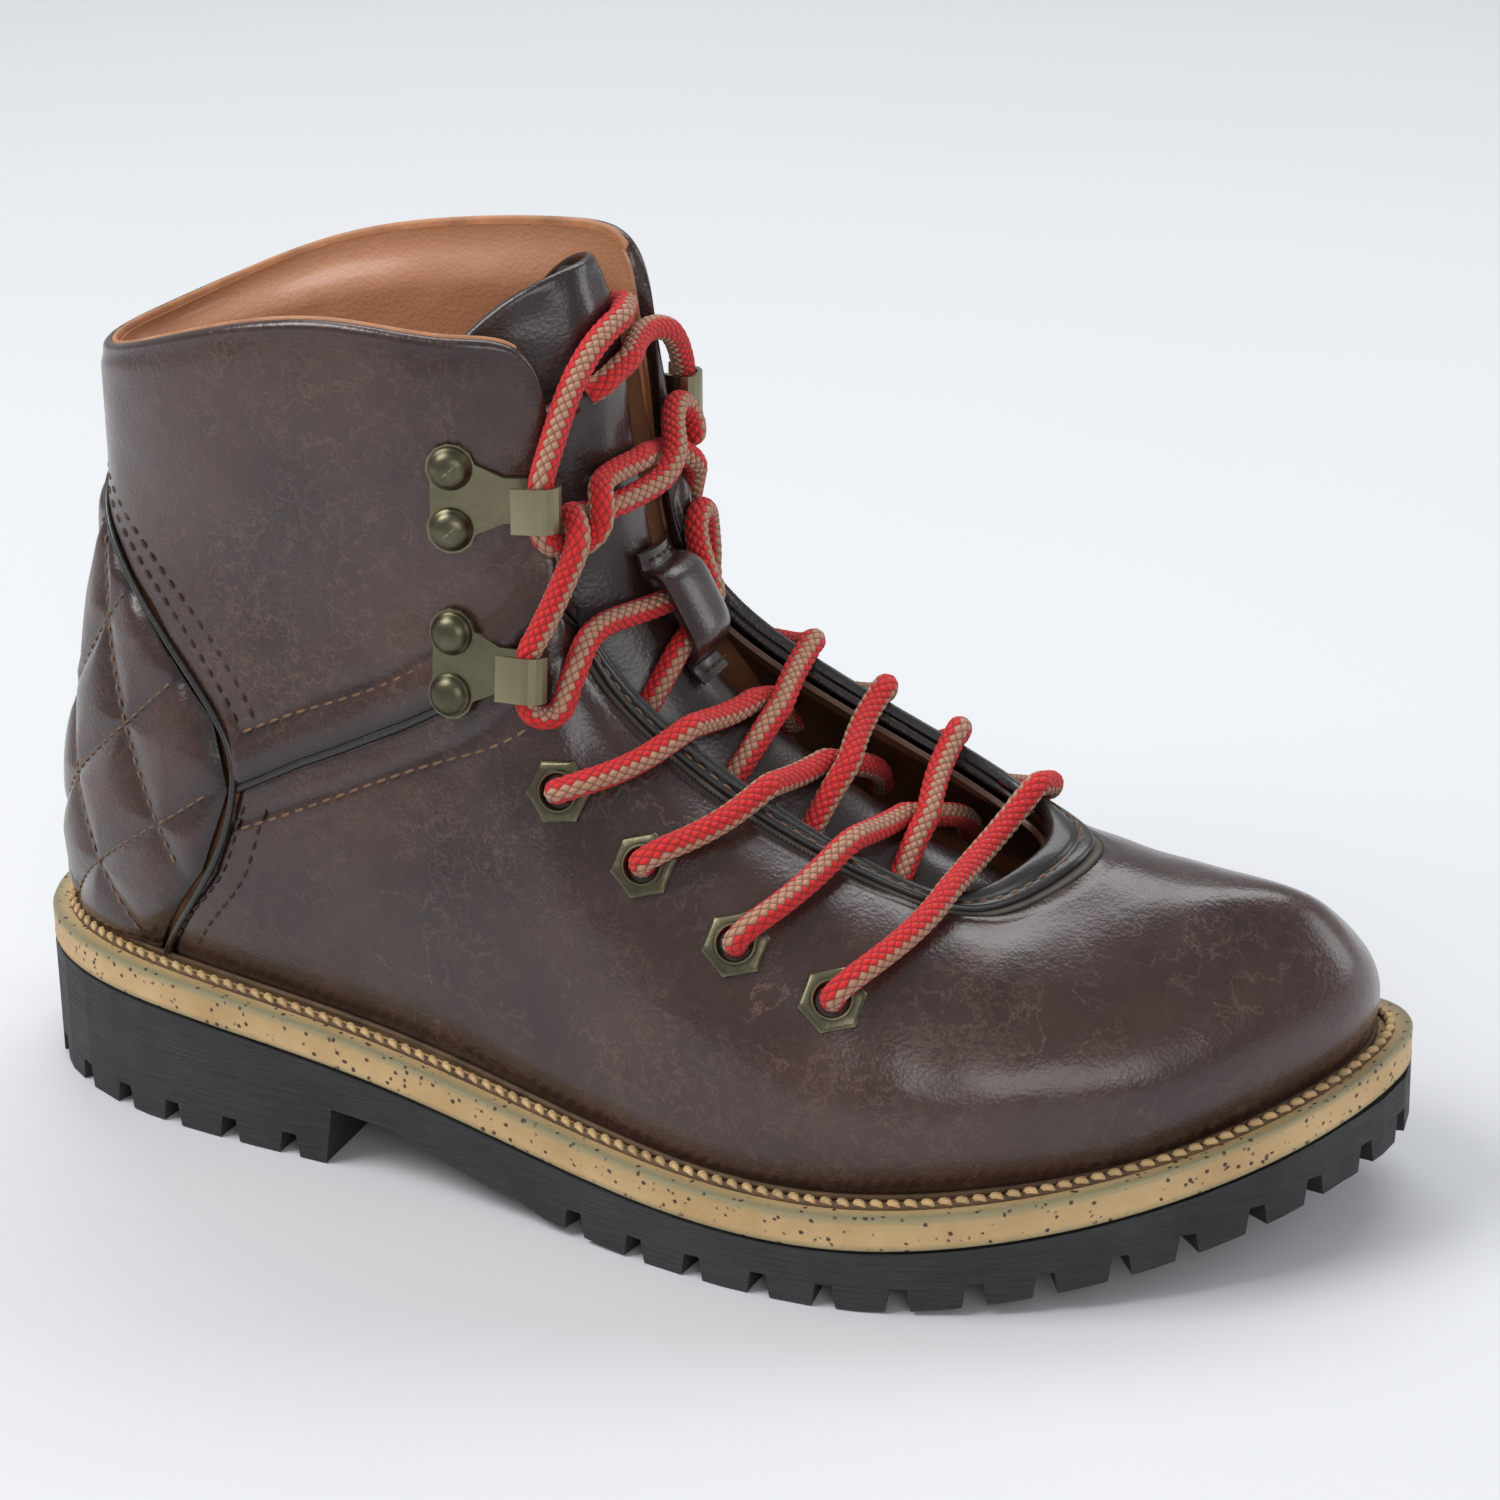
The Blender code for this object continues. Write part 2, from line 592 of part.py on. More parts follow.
def eyelet_ring(name, place, normal, rise, bore, barrel, finish):
    """A hexagonal flange with a round barrel through the leather; one closed ring."""
    sides = 12
    side = np.cross(normal, rise)
    corner = EYELET_ACROSS / 2 / math.cos(math.pi / 6)
    profile = [("round", bore, -BARREL), ("round", bore, 1.6), ("hex", 0.94, 1.6), ("hex", 1.0, 0.45),
               ("round", barrel, 0.45), ("round", barrel, -BARREL)]
    points = []
    for kind, size, height in profile:
        for k in range(sides):
            angle = 2 * math.pi * k / sides
            if kind == "hex":
                radius = size * corner * (1 if k % 2 == 0 else math.cos(math.pi / 6))
            else:
                radius = size
            flat = side * math.cos(angle) + rise * math.sin(angle)
            points.append(place + flat * radius + normal * height)
    faces = grid_faces(len(profile), sides, closed=True)
    last = (len(profile) - 1) * sides
    for k in range(sides):
        d = (k + 1) % sides
        faces.append((last + k, last + d, d, k))
    return add_object(name, mesh_from(name, points, faces), finish, PARTS)


def hole_rings(form, place, normal, rise, radius, sides=8):
    """A straight plug in a bmesh, through all the layers of the upper."""
    side = np.cross(normal, rise)
    rings = []
    for height in (-9, 5):
        ring = []
        for k in range(sides):
            angle = 2 * math.pi * (k + 0.5) / sides
            flat = side * math.cos(angle) + rise * math.sin(angle)
            ring.append(form.verts.new(to_frame(place + flat * radius / math.cos(math.pi / sides)
                                                + normal * height)[0]))
        rings.append(ring)
    for k in range(sides):
        d = (k + 1) % sides
        form.faces.new((rings[0][k], rings[0][d], rings[1][d], rings[1][k]))
    form.faces.new(rings[0])
    form.faces.new(rings[1])


# ---------------------------------------------------------------- tongue

def tongue_surface(t, s, depth=0.0):
    """t runs 0 at the sewn base to 1 at the top, s from -1 lateral to 1 medial."""
    table = np.array(TONGUE, float)
    run = np.concatenate([[0], np.cumsum(np.linalg.norm(np.diff(table[:, :3], axis=0), axis=1))])
    run /= run[-1]
    t, s = np.broadcast_arrays(np.asarray(t, float), np.asarray(s, float))
    shape = t.shape
    t, s = t.ravel(), s.ravel()

    def place(t, s):
        row = spline(run, table, np.clip(t, 0, 1))
        ahead = spline(run, table[:, :3], np.clip(t + 0.01, 0, 1))
        behind = spline(run, table[:, :3], np.clip(t - 0.01, 0, 1))
        along = ahead - behind
        along[:, 1] = 0
        along /= np.linalg.norm(along, axis=1)[:, None]
        outward = np.column_stack([along[:, 2], 0 * s, -along[:, 0]])
        point = row[:, :3].copy()
        point[:, 1] += s * row[:, 3]
        return point - outward * (row[:, 4] * np.abs(s) ** 2.2)[:, None]

    point = place(t, s)
    rise = place(np.clip(t + 0.01, 0, 1), s) - place(np.clip(t - 0.01, 0, 1), s)
    across = place(t, s + 0.02) - place(t, s - 0.02)
    normal = np.cross(across, rise)
    normal /= np.linalg.norm(normal, axis=1)[:, None]
    depth = np.broadcast_to(np.asarray(depth, float), shape).ravel()
    return (point - normal * depth[:, None]).reshape(shape + (3,))


def sheet_normals(points):
    """Unit normals of a grid of points."""
    normal = np.cross(np.gradient(points, axis=1), np.gradient(points, axis=0))
    return normal / np.linalg.norm(normal, axis=2)[:, :, None]


GUSSET_SLACK = (7.0, 2.6)     # room between the lining and the gusset, at the eyelets and above


def build_tongue():
    leather = material("tongue_leather", (0.035, 0.016, 0.013), 0.4)
    mesh_cloth = material("tongue_mesh", (0.03, 0.03, 0.032), 0.9)
    t, s = np.meshgrid(np.linspace(0, 1, 17), np.linspace(-1, 1, 7), indexing="ij")
    lofted("tongue", tongue_surface(t, s), tongue_surface(t, s, 1.5), leather)
    t, s = np.meshgrid(np.linspace(0, 1, 17)[1:-1], np.linspace(-1, 1, 7)[1:-1], indexing="ij")
    lofted("tongue_lining", tongue_surface(t, s, 1.8), tongue_surface(t, s, 5.0), mesh_cloth)

    for side, sign in (("lateral", -1), ("medial", 1)):
        t = np.linspace(0.10, 0.78, 12)
        tongue_edge = tongue_surface(t, 0 * t + sign, 0.6)
        u = np.interp(t, [0.10, 0.44, 0.62, 0.80], [8.9, 6.2, 5.0, 4.3])
        v = np.interp(t, [0.44, 0.62, 0.80], [0.45, 0.66, 0.82])
        slack = np.interp(t, [0.44, 0.62], GUSSET_SLACK)
        quarter_side = upper(u if sign < 0 else COLUMNS - u, v, LINING_DEPTH + LINING + slack)
        share = np.linspace(0.22, 0.97, 4)[:, None, None]
        strip = tongue_edge * (1 - share) + quarter_side * share
        strip[:, :, 2] -= 4.0 * np.sin(share[:, :, 0] * math.pi)
        upward = sheet_normals(strip)
        below = strip - upward * np.sign(upward[:, :, 2].mean())
        lofted("gusset_" + side, strip, below, leather)


# ---------------------------------------------------------------- hooks, loop and lace

HOOK_V = (0.617, 0.812)       # heights of the lower and the upper hook on the shaft
HOOK_U = 4.35
PLATE_LIFT = 1.1
PLATE_THICK = 1.0
RIVET_AT = -6.5
FOLD_AT = 12.0                # centre of the hook's fold, forward of the plate's middle
FOLD_INSIDE = 2.9


class Hook:
    """Where a hook sits: a runs forward to the throat, b up and h out of the leather."""

    def __init__(self, side, v):
        u = HOOK_U if side == "lateral" else COLUMNS - HOOK_U
        self.origin, self.out, self.up = frame_at(u, v)
        self.forward = np.cross(self.out, self.up) * (1 if side == "medial" else -1)
        if self.forward[0] < 0:
            self.forward = -self.forward

    def at(self, a, b, h):
        return self.origin + self.forward * a + self.up * b + self.out * h


def plate_outline():
    """Two round lobes for the rivets and a neck to the fold."""
    points = []
    for centre, start, end in ((6.2, 10, 215), (-6.2, 145, 350)):
        for angle in np.radians(np.linspace(start, end, 8)):
            points.append((RIVET_AT + 5.0 * math.cos(angle), centre + 5.0 * math.sin(angle)))
    points += [(4.0, -4.6), (8.5, -4.6), (8.5, 4.6), (4.0, 4.6)]
    return points


def fold_outline():
    """Side view of the folded tab, an open U that faces the rivets."""
    low, thick = PLATE_LIFT, PLATE_THICK
    middle = low + thick + FOLD_INSIDE
    outer = [(FOLD_AT + (FOLD_INSIDE + thick) * math.sin(t), middle - (FOLD_INSIDE + thick) * math.cos(t))
             for t in np.linspace(0, math.pi, 9)]
    inner = [(FOLD_AT + FOLD_INSIDE * math.sin(t), middle - FOLD_INSIDE * math.cos(t))
             for t in np.linspace(math.pi, 0, 9)]
    top = middle + FOLD_INSIDE
    return [(6.0, low)] + outer + [(6.5, top + thick), (6.5, top)] + inner + [(6.0, low + thick)]


def swept_outline(name, points_low, points_high, finish, collection):
    count = len(points_low)
    faces = [tuple(range(count)), tuple(range(2 * count - 1, count - 1, -1))]
    faces += [(k, (k + 1) % count, count + (k + 1) % count, count + k) for k in range(count)]
    return add_object(name, mesh_from(name, list(points_low) + list(points_high), faces), finish, collection)


def build_hooks():
    brass = material("antique_brass", (0.20, 0.17, 0.10), 0.35, 1.0)
    for side in ("lateral", "medial"):
        for level, v in zip(("lower", "upper"), HOOK_V):
            hook = Hook(side, v)
            low = [hook.at(a, b, PLATE_LIFT) for a, b in plate_outline()]
            high = [hook.at(a, b, PLATE_LIFT + PLATE_THICK) for a, b in plate_outline()]
            plate = swept_outline(f"hook_{side}_{level}", low, high, brass, PARTS)
            near = [hook.at(a, -4.6, h) for a, h in fold_outline()]
            far = [hook.at(a, 4.6, h) for a, h in fold_outline()]
            fold = swept_outline(f"fold_{side}_{level}", near, far, None, CUTTERS)
            boolean(plate, fold, "UNION")
            for end, b in (("top", 6.2), ("bottom", -6.2)):
                base = hook.at(RIVET_AT, b, PLATE_LIFT + PLATE_THICK + GAP)
                dome = [(4.3, 0), (4.3, 0.7), (3.2, 1.9), (1.2, 2.6)]
                turned(f"rivet_{side}_{level}_{end}", base, hook.out, hook.up, dome, 10, brass)


LOOP_T = 0.585                # middle of the loop along the tongue
LOOP_HALF = 0.27              # half width of the loop, as a share of the tongue's half width
TONGUE_RUN = 178.0            # length of the tongue


def build_loop():
    """A strap sewn down at both ends, arched so that two laces pass under it."""
    leather = material("tongue_leather", (0.035, 0.016, 0.013), 0.4)
    arch = [(-15.5, 2.0), (-10.0, 1.8), (-9.2, 4.6), (-7.0, 7.4), (0, 8.2), (7.0, 7.4), (9.2, 4.6),
            (10.0, 1.8), (14.5, 2.0)]
    cover = [(-15.5, 3.4), (-11.4, 3.3), (-10.6, 5.4), (-7.8, 8.8), (0, 9.7), (7.8, 8.8), (10.6, 5.4),
             (11.4, 3.3), (14.5, 3.4)]
    sides = []
    for s in (-LOOP_HALF, LOOP_HALF):
        t, h = np.array([(LOOP_T + a / TONGUE_RUN, h) for a, h in arch + cover[::-1]]).T
        sides.append(tongue_surface(t, 0 * t + s, -h))
    swept_outline("tongue_loop", sides[0], sides[1], leather, PARTS)


def build_lace(route):
    red = material("red_lace", (0.60, 0.02, 0.02), 0.7)
    curve = bpy.data.curves.new("lace", "CURVE")
    curve.dimensions = "3D"
    curve.bevel_depth = LACE_DIAMETER / 2 * MM
    curve.bevel_resolution = 2
    curve.use_fill_caps = True
    line = curve.splines.new("POLY")
    line.points.add(len(route) - 1)
    for point, place in zip(line.points, to_frame(route)):
        point.co = (*place, 1)
    lace = bpy.data.objects.new("lace", curve)
    PARTS.objects.link(lace)
    curve.materials.append(red)


def build_tip(name, centres):
    """A moulded lace tip along a row of centres, with its far end rounded off."""
    finish = material("lace_tip", (0.12, 0.01, 0.01), 0.35)
    radii = [LACE_DIAMETER / 2 * share for share in [0.6, 0.96] + [1.0] * (len(centres) - 2)]
    ahead = np.gradient(centres, axis=0)
    ahead /= np.linalg.norm(ahead, axis=1)[:, None]
    side = np.cross(ahead[0], (0.0, 0.0, 1.0))
    points = []
    for centre, line, radius in zip(centres, ahead, radii):
        side = side - line * np.dot(side, line)
        side = side / np.linalg.norm(side)
        other = np.cross(line, side)
        for angle in np.linspace(0, 2 * math.pi, 8, endpoint=False):
            points.append(centre + (side * math.cos(angle) + other * math.sin(angle)) * radius)
    faces = grid_faces(len(centres), 8, closed=True)
    faces.append(tuple(range(8)))
    faces.append(tuple(range(8 * len(centres) - 1, 8 * len(centres) - 9, -1)))
    return add_object(name, mesh_from(name, points, faces), finish, PARTS)


def dive(place, out, before, after):
    """Lace through an eyelet: over the rim from before, down the bore and away to after."""
    def flat(target):
        away = target - place
        away = away - out * np.dot(away, out)
        return away / np.linalg.norm(away)
    toward, leaving = flat(before), flat(after)
    rim = [(8.5, 5.0), (3.6, 4.7), (0.9, 2.9), (0.0, 0.4)]
    inside = [(0.2, -3.0), (0.9, -6.0), (3.6, -8.0), (8.5, -7.9)]
    return ([place + toward * r + out * h for r, h in rim]
            + [place + leaving * r + out * h for r, h in inside])


def around_hook(hook, upward=True):
    """Lace round behind a hook's fold."""
    steps = [(17.5, -9.4, 2.6), (13.6, -8.0, 4.4), (11.6, -4.0, 5.0), (11.6, 4.0, 5.0), (13.6, 8.0, 4.4),
             (17.5, 9.4, 2.6)]
    points = [hook.at(*step) for step in steps]
    return points if upward else points[::-1]


def lace_route():
    """Points of the whole lace, from its lateral end, down through the eyelets and up again."""
    lateral, medial = eyelet_places()
    eye = {("L", k): frame_at(*p) for k, p in enumerate(lateral, 1)}
    eye.update({("M", k): frame_at(*p) for k, p in enumerate(medial, 1)})
    hooks = {(side, k): Hook(side, v) for side in ("lateral", "medial") for k, v in enumerate(HOOK_V)}

    def on(u, v, lift):
        return upper(u, v, -lift)

    def tongue(t, s, lift):
        return tongue_surface(t, s, -lift)

    # Crossing bars: eyelet left behind, edge passed under, places over the tongue, edge passed over
    def bar(under_u, places, over_u):
        points = [on(under_u, 0.90, -7.8), on(under_u, 0.985, -6.4)]
        points += [tongue(*place) for place in places]
        return points + [on(over_u, 0.985, 5.6), on(over_u, 0.88, 5.4)]

    def over(t):
        return [(t, -0.5, 4.2), (t + 0.015, -0.1, 6.5), (t + 0.035, 0.35, 9.2)]

    def below(t):
        return [(t, 0.5, 3.4), (t + 0.015, 0.1, 3.4), (t + 0.035, -0.5, 5.4)]

    centre = [on(13.9, 0.88, 5.4), on(13.9, 0.985, 5.6), tongue(0.12, 0.25, 8.5), tongue(0.135, -0.35, 7.5),
              on(9.55, 0.985, 5.6), on(9.55, 0.88, 5.4)]
    half_a = [centre,
              bar(9.2, over(0.20), 15.1),
              bar(15.5, below(0.31), 8.05),
              bar(7.95, over(0.41), 16.2)]
    half_b = [bar(14.75, below(0.205), 8.6),
              bar(8.45, over(0.31), 15.65),
              bar(16.35, below(0.415), 7.5)]
    stops_a = [("L", 1), ("M", 2), ("L", 3), ("M", 4)]
    stops_b = [("M", 1), ("L", 2), ("M", 3), ("L", 4)]

    loop_a = [on(16.95, 0.90, -7.8), on(16.95, 0.985, -6.6), tongue(0.53, 0.62, 3.4),
              tongue(LOOP_T + 0.018, 0.3, 3.2), tongue(LOOP_T + 0.018, -0.3, 3.2),
              tongue(0.605, -0.75, 6.0), on(6.6, 0.985, 4.6), on(5.9, 0.86, 3.4)]
    loop_b = [on(7.4, 0.90, -7.8), on(7.4, 0.985, -6.6), tongue(0.53, -0.6, 3.6),
              tongue(LOOP_T - 0.018, -0.3, 3.2), tongue(LOOP_T - 0.018, 0.3, 3.4),
              tongue(0.60, 0.62, 8.6), on(17.7, 0.985, 4.8), on(18.3, 0.86, 3.4)]

    half_a.append(loop_a)
    half_b.append(loop_b)

    def chain(stops, bars):
        points = []
        for stop, last, following in zip(stops, bars, bars[1:]):
            place, out, _ = eye[stop]
            points += dive(place, out, last[-1], following[0]) + following
        return points

    path_a = chain(stops_a, half_a)
    path_b = chain(stops_b, [centre[::-1]] + half_b)

    top_a = around_hook(hooks[("lateral", 0)])
    top_a += [on(5.45, 0.90, 3.2), on(5.75, 0.965, 4.4), tongue(0.715, -0.45, 4.6), tongue(0.75, 0.1, 8.4),
              tongue(0.785, 0.5, 7.4), on(18.55, 0.965, 5.2), on(18.8, 0.90, 3.4)]
    top_a += around_hook(hooks[("medial", 1)])
    top_a += [on(18.95, 0.965, 3.6), tongue(0.905, 0.6, 5.4), tongue(0.895, 0.2, 3.4),
              tongue(0.87, -0.35, 3.2), tongue(0.845, -0.75, 3.4), tongue(0.81, -0.98, 3.6)]
    top_b = around_hook(hooks[("medial", 0)])
    top_b += [on(18.5, 0.90, 3.2), on(18.3, 0.965, 4.2), tongue(0.74, 0.55, 3.4), tongue(0.755, 0.1, 3.2),
              tongue(0.775, -0.45, 4.4), on(5.5, 0.965, 4.4), on(5.3, 0.90, 3.4)]
    top_b += around_hook(hooks[("lateral", 1)])
    top_b += [on(5.2, 0.965, 3.6), tongue(0.905, -0.6, 8.8), tongue(0.935, -0.1, 5.0),
              tongue(0.945, 0.4, 3.2), tongue(0.92, 0.8, 3.2), tongue(0.88, 1.0, 3.4)]
    return top_a[::-1] + path_a[::-1] + centre[::-1] + path_b + top_b


def smooth_route(points, spacing):
    """Evenly spaced points on a curve through the route's own points."""
    points = np.array(points)
    gaps = np.linalg.norm(np.diff(points, axis=0), axis=1)
    knots = np.concatenate([[0], np.cumsum(gaps ** 0.75)])
    fine = spline(knots, points, np.linspace(0, knots[-1], 4000))
    run = np.concatenate([[0], np.cumsum(np.linalg.norm(np.diff(fine, axis=0), axis=1))])
    even = np.linspace(0, run[-1], int(run[-1] / spacing) + 1)
    return np.column_stack([np.interp(even, run, fine[:, k]) for k in range(3)])


def solids_tree():
    """All the finished pieces as one search tree, in metres."""
    graph = bpy.context.evaluated_depsgraph_get()
    form = bmesh.new()
    for piece in PARTS.objects:
        mesh = bpy.data.meshes.new_from_object(piece.evaluated_get(graph))
        form.from_mesh(mesh)
        bpy.data.meshes.remove(mesh)
    tree = BVHTree.FromBMesh(form)
    form.free()
    return tree


def push_clear(tree, place, reach):
    """The move that takes a place at least reach away from every piece."""
    found, normal, _, _ = tree.find_nearest(Vector(place * MM))
    away = place - np.array(found) / MM
    distance = max(np.linalg.norm(away), 0.01)
    if np.dot(away, np.array(normal)) < 0 and distance < 0.6:
        return -away - away / distance * 0.5
    if distance < reach:
        return away / distance * min(reach - distance, 0.6)
    return None


def settle(route, rounds=150):
    """Swells the lace to its full size while every piece and the lace itself push it clear."""
    tree = solids_tree()
    route = to_frame(route) / MM
    full = LACE_DIAMETER / 2 + LACE_CLEARANCE
    count = len(route)
    apart = np.abs(np.arange(count)[:, None] - np.arange(count)[None, :]) > 8 / LACE_SPACING
    for turn in range(rounds):
        reach = full * min(1.0, 0.4 + 0.6 * turn / (0.5 * rounds))
        pull = 0.22 if turn < 0.8 * rounds else 0.06
        between = 0.5 * (route[:-2] + route[2:])
        route[1:-1] += pull * (between - route[1:-1])
        gap = route[:, None] - route[None, :]
        far = np.linalg.norm(gap, axis=2)
        close = apart & (far < 2 * reach)
        push = np.where(close, np.minimum(2 * reach - far, 0.8) / np.maximum(far, 0.1), 0)
        route += 0.5 * np.einsum("ij,ijk->ik", push, gap)
        for k in range(count):
            move = push_clear(tree, route[k], reach)
            if move is not None:
                route[k] += move
        for k in range(count - 1):
            move = push_clear(tree, 0.5 * (route[k] + route[k + 1]), reach)
            if move is not None:
                route[k] += 0.6 * move
                route[k + 1] += 0.6 * move
    return route - (FRAME_SHIFT[0], FRAME_SHIFT[1], 0)


def thinned(route, tolerance=0.5, most=6):
    """Drops points as long as the straight runs stay clear of every piece and of the lace."""
    tree = solids_tree()
    radius = LACE_DIAMETER / 2
    count = len(route)

    def runs_clear(first, last):
        start, end = route[first], route[last]
        length = np.linalg.norm(end - start)
        line = (end - start) / length
        away = route[first + 1:last] - start
        off = away - np.outer(away @ line, line)
        if np.linalg.norm(off, axis=1).max() > tolerance:
            return False
        others = np.ones(count, bool)
        others[max(first - 4, 0):last + 5] = False
        for share in np.linspace(0, 1, int(length) + 2):
            place = start + (end - start) * share
            found = tree.find_nearest(Vector(to_frame(place)[0]))
            if found[3] < (radius + 0.16) * MM:
                return False
            if np.linalg.norm(route[others] - place, axis=1).min() < LACE_DIAMETER + 0.2:
                return False
        return True

    kept = [0]
    while kept[-1] < count - 1:
        reach = kept[-1] + 1
        while reach + 1 < count and reach - kept[-1] < most and runs_clear(kept[-1], reach + 1):
            reach += 1
        kept.append(reach)
    return route[kept]


# ---------------------------------------------------------------- build

for old in list(bpy.data.objects):
    bpy.data.objects.remove(old, do_unlink=True)

PARTS = bpy.data.collections.new("hiking_boot")
CUTTERS = bpy.data.collections.new("cutters")
for group in (PARTS, CUTTERS):
    bpy.context.scene.collection.children.link(group)

build_sole()
LOWER, LINER = build_upper()
build_eyelets(LOWER, LINER)
build_tongue()
build_hooks()
build_loop()
bpy.context.view_layer.update()
SETTLED = settle(smooth_route(lace_route(), LACE_SPACING))
ROUTE = thinned(SETTLED[TIP_POINTS:-TIP_POINTS])
build_lace(ROUTE)
build_tip("lace_tip_1", SETTLED[:TIP_POINTS])
build_tip("lace_tip_2", SETTLED[::-1][:TIP_POINTS])
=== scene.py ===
"""Looks of the hiking boot: camera, lights, leather, stitching, lace and hardware on the CAD frame.

Shapes are worked out in millimetres from the heel, as the CAD model does, and moved to the frame.
"""
import math

import bmesh
import bpy
import numpy as np
from mathutils import Matrix, Vector
from mathutils.bvhtree import BVHTree


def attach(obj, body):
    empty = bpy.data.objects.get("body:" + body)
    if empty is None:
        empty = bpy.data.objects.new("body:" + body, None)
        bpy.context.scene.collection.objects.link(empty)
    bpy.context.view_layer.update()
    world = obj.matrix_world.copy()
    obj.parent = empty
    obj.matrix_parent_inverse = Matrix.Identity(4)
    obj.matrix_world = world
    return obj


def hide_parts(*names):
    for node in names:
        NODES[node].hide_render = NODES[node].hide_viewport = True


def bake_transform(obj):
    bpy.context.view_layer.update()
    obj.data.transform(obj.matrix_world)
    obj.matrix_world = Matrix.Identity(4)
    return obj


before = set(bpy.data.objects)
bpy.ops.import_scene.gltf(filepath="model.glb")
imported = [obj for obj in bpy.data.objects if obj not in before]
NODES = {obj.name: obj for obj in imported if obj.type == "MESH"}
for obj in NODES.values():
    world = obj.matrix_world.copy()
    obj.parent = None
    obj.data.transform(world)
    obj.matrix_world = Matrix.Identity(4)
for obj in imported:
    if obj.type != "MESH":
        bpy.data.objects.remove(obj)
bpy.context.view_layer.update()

MM = 0.001
CURVE_GAP = 0.9              # clearance between facets on curved walls
FRAME_SHIFT = (-153.05, 2.318)  # heel-based x and y to the middle of the boot
LEATHER = 1.8
LINING = 1.1
LINING_DEPTH = 3.6
PADDING = 2.6                # extra depth of the padded collar
TOE_ROOM = 1.5               # extra depth behind the toe's stiffener
LACE_DIAMETER = 5.0
LACE_SPACING = 3.0           # between the points that are worked out
LACE_CLEARANCE = 0.4
TIP_POINTS = 8               # points of the lace's route that each tip takes
EYELET_BORE = 6.6
SOLE = [
    (5.4, 0), (12, -18.5), (31, -33.5), (60, -41), (100, -44.5), (139, -51), (178, -59), (210, -60),
    (240, -50.5), (266, -34.5), (286, -15.5), (298, 6.5), (300, 27), (287.5, 44.5), (261, 54),
    (230, 56), (200, 52.5), (170, 45), (140, 38), (100, 35.5), (60, 38), (30, 34), (10.5, 20),
]
WELT_TOP = [(0, 34.5), (40, 34.5), (80, 31.5), (120, 26), (160, 21), (200, 20), (240, 23),
            (270, 28.5), (300, 37.5)]
CAGE = [
    [(13, 0), (13, 0, 52), (15.5, 0, 72), (21, 0, 98), (27, 0, 126), (28.5, 0, 145), (27, 0, 160)],
    [(22, -20), (21, -20.5, 54), (23, -19.5, 75), (27.5, -17.5, 99), (33, -17, 127),
     (35.5, -18, 147), (36, -17.5, 163)],
    [(50, -31), (50, -35.5, 54), (52, -34, 75), (54, -30, 100), (57, -28, 127), (60, -30, 150),
     (62, -31, 173)],
    [(85, -35), (86, -39, 52), (88, -38, 74), (90, -34, 100), (91, -32, 128), (92, -33, 155),
     (92, -34, 179.5)],
    [(115, -38), (116, -43, 47), (117, -41, 70), (118, -36, 96), (118, -32, 124), (118, -31, 152),
     (118, -31, 178)],
    [(143, -44), (143, -48, 41), (142, -46, 62), (139, -40, 88), (136.5, -32, 117), (135, -26, 146),
     (134, -23, 171.5)],
    [(160, -48), (160, -52, 38), (158, -50, 58), (153, -43, 80), (147, -34, 101), (141, -27, 121),
     (136.5, -21.5, 140)],
    [(178, -52), (178, -55, 36), (176, -53, 54), (171, -46, 72), (164, -37, 88), (154, -28, 101),
     (144.5, -21, 114)],
    [(205, -53), (205, -56, 35), (203, -54, 48), (198, -47, 62), (190, -37, 75), (181, -28, 83),
     (172, -21, 92)],
    [(235, -44), (236, -47, 36), (234, -45, 48), (228, -38, 59), (220, -31, 66), (211, -24, 71),
     (201, -19, 75)],
    [(265, -27), (266, -29, 42), (262, -27, 52), (254, -22, 60), (243, -19, 65), (230, -16, 67.5),
     (217, -13, 68.5)],
    [(286, -3), (287, -4, 48), (282, -3, 59), (270, -2, 66.5), (257, -3, 69.5), (242, -3, 71),
     (226, -4, 72)],
    [(293, 18), (294.5, 17, 49), (288.5, 15, 61.5), (277, 12, 70), (260, 9, 71.5), (245, 7, 73),
     (229, 4, 74.5)],
    [(286, 38), (286, 37, 46), (280, 33, 56), (271, 26, 64), (256, 20.5, 69), (242, 15, 72.5),
     (227, 11, 76.5)],
    [(265, 49), (265, 50, 42), (261, 46, 50.5), (252, 39, 58.5), (242, 30, 66), (230, 23, 72.5),
     (218.5, 17, 79)],
    [(235, 51), (234, 52, 39), (231, 49, 49), (224, 42, 60), (217, 34, 69.5), (210, 26, 77.5),
     (202, 19.5, 86)],
    [(205, 48), (205, 51, 38), (202, 48, 51), (196, 41, 65), (189, 33, 78), (182, 26, 89),
     (174, 19, 99)],
    [(178, 42), (178, 46, 40), (176, 45, 56), (171, 40, 73), (165, 33, 90), (157, 26, 104),
     (149, 20, 116)],
    [(160, 38), (160, 42, 42), (158, 41, 60), (154, 36, 82), (149, 31, 102), (145, 26, 124),
     (140.5, 22, 143)],
    [(143, 34), (143, 38, 44), (142, 38, 66), (140, 34, 92), (138, 30, 120), (137.5, 28, 148),
     (136, 26, 177.5)],
    [(115, 30), (116, 35, 48), (117, 36, 71), (118, 34, 97), (119, 31, 125), (120, 31, 155),
     (120, 30, 185)],
    [(85, 29), (86, 34, 52), (88, 35, 74), (90, 33, 100), (91, 31, 128), (92, 31, 155),
     (91, 31, 181.5)],
    [(50, 29), (50, 34, 54), (52, 33, 75), (54, 29, 100), (57, 27, 127), (60, 28, 150),
     (61, 29, 174)],
    [(22, 19), (21, 20, 54), (23, 19, 75), (27.5, 17, 99), (33, 16.5, 127), (35.5, 17.5, 147),
     (36, 17, 164)],
]
COLUMNS = len(CAGE)
ROWS = len(CAGE[0])
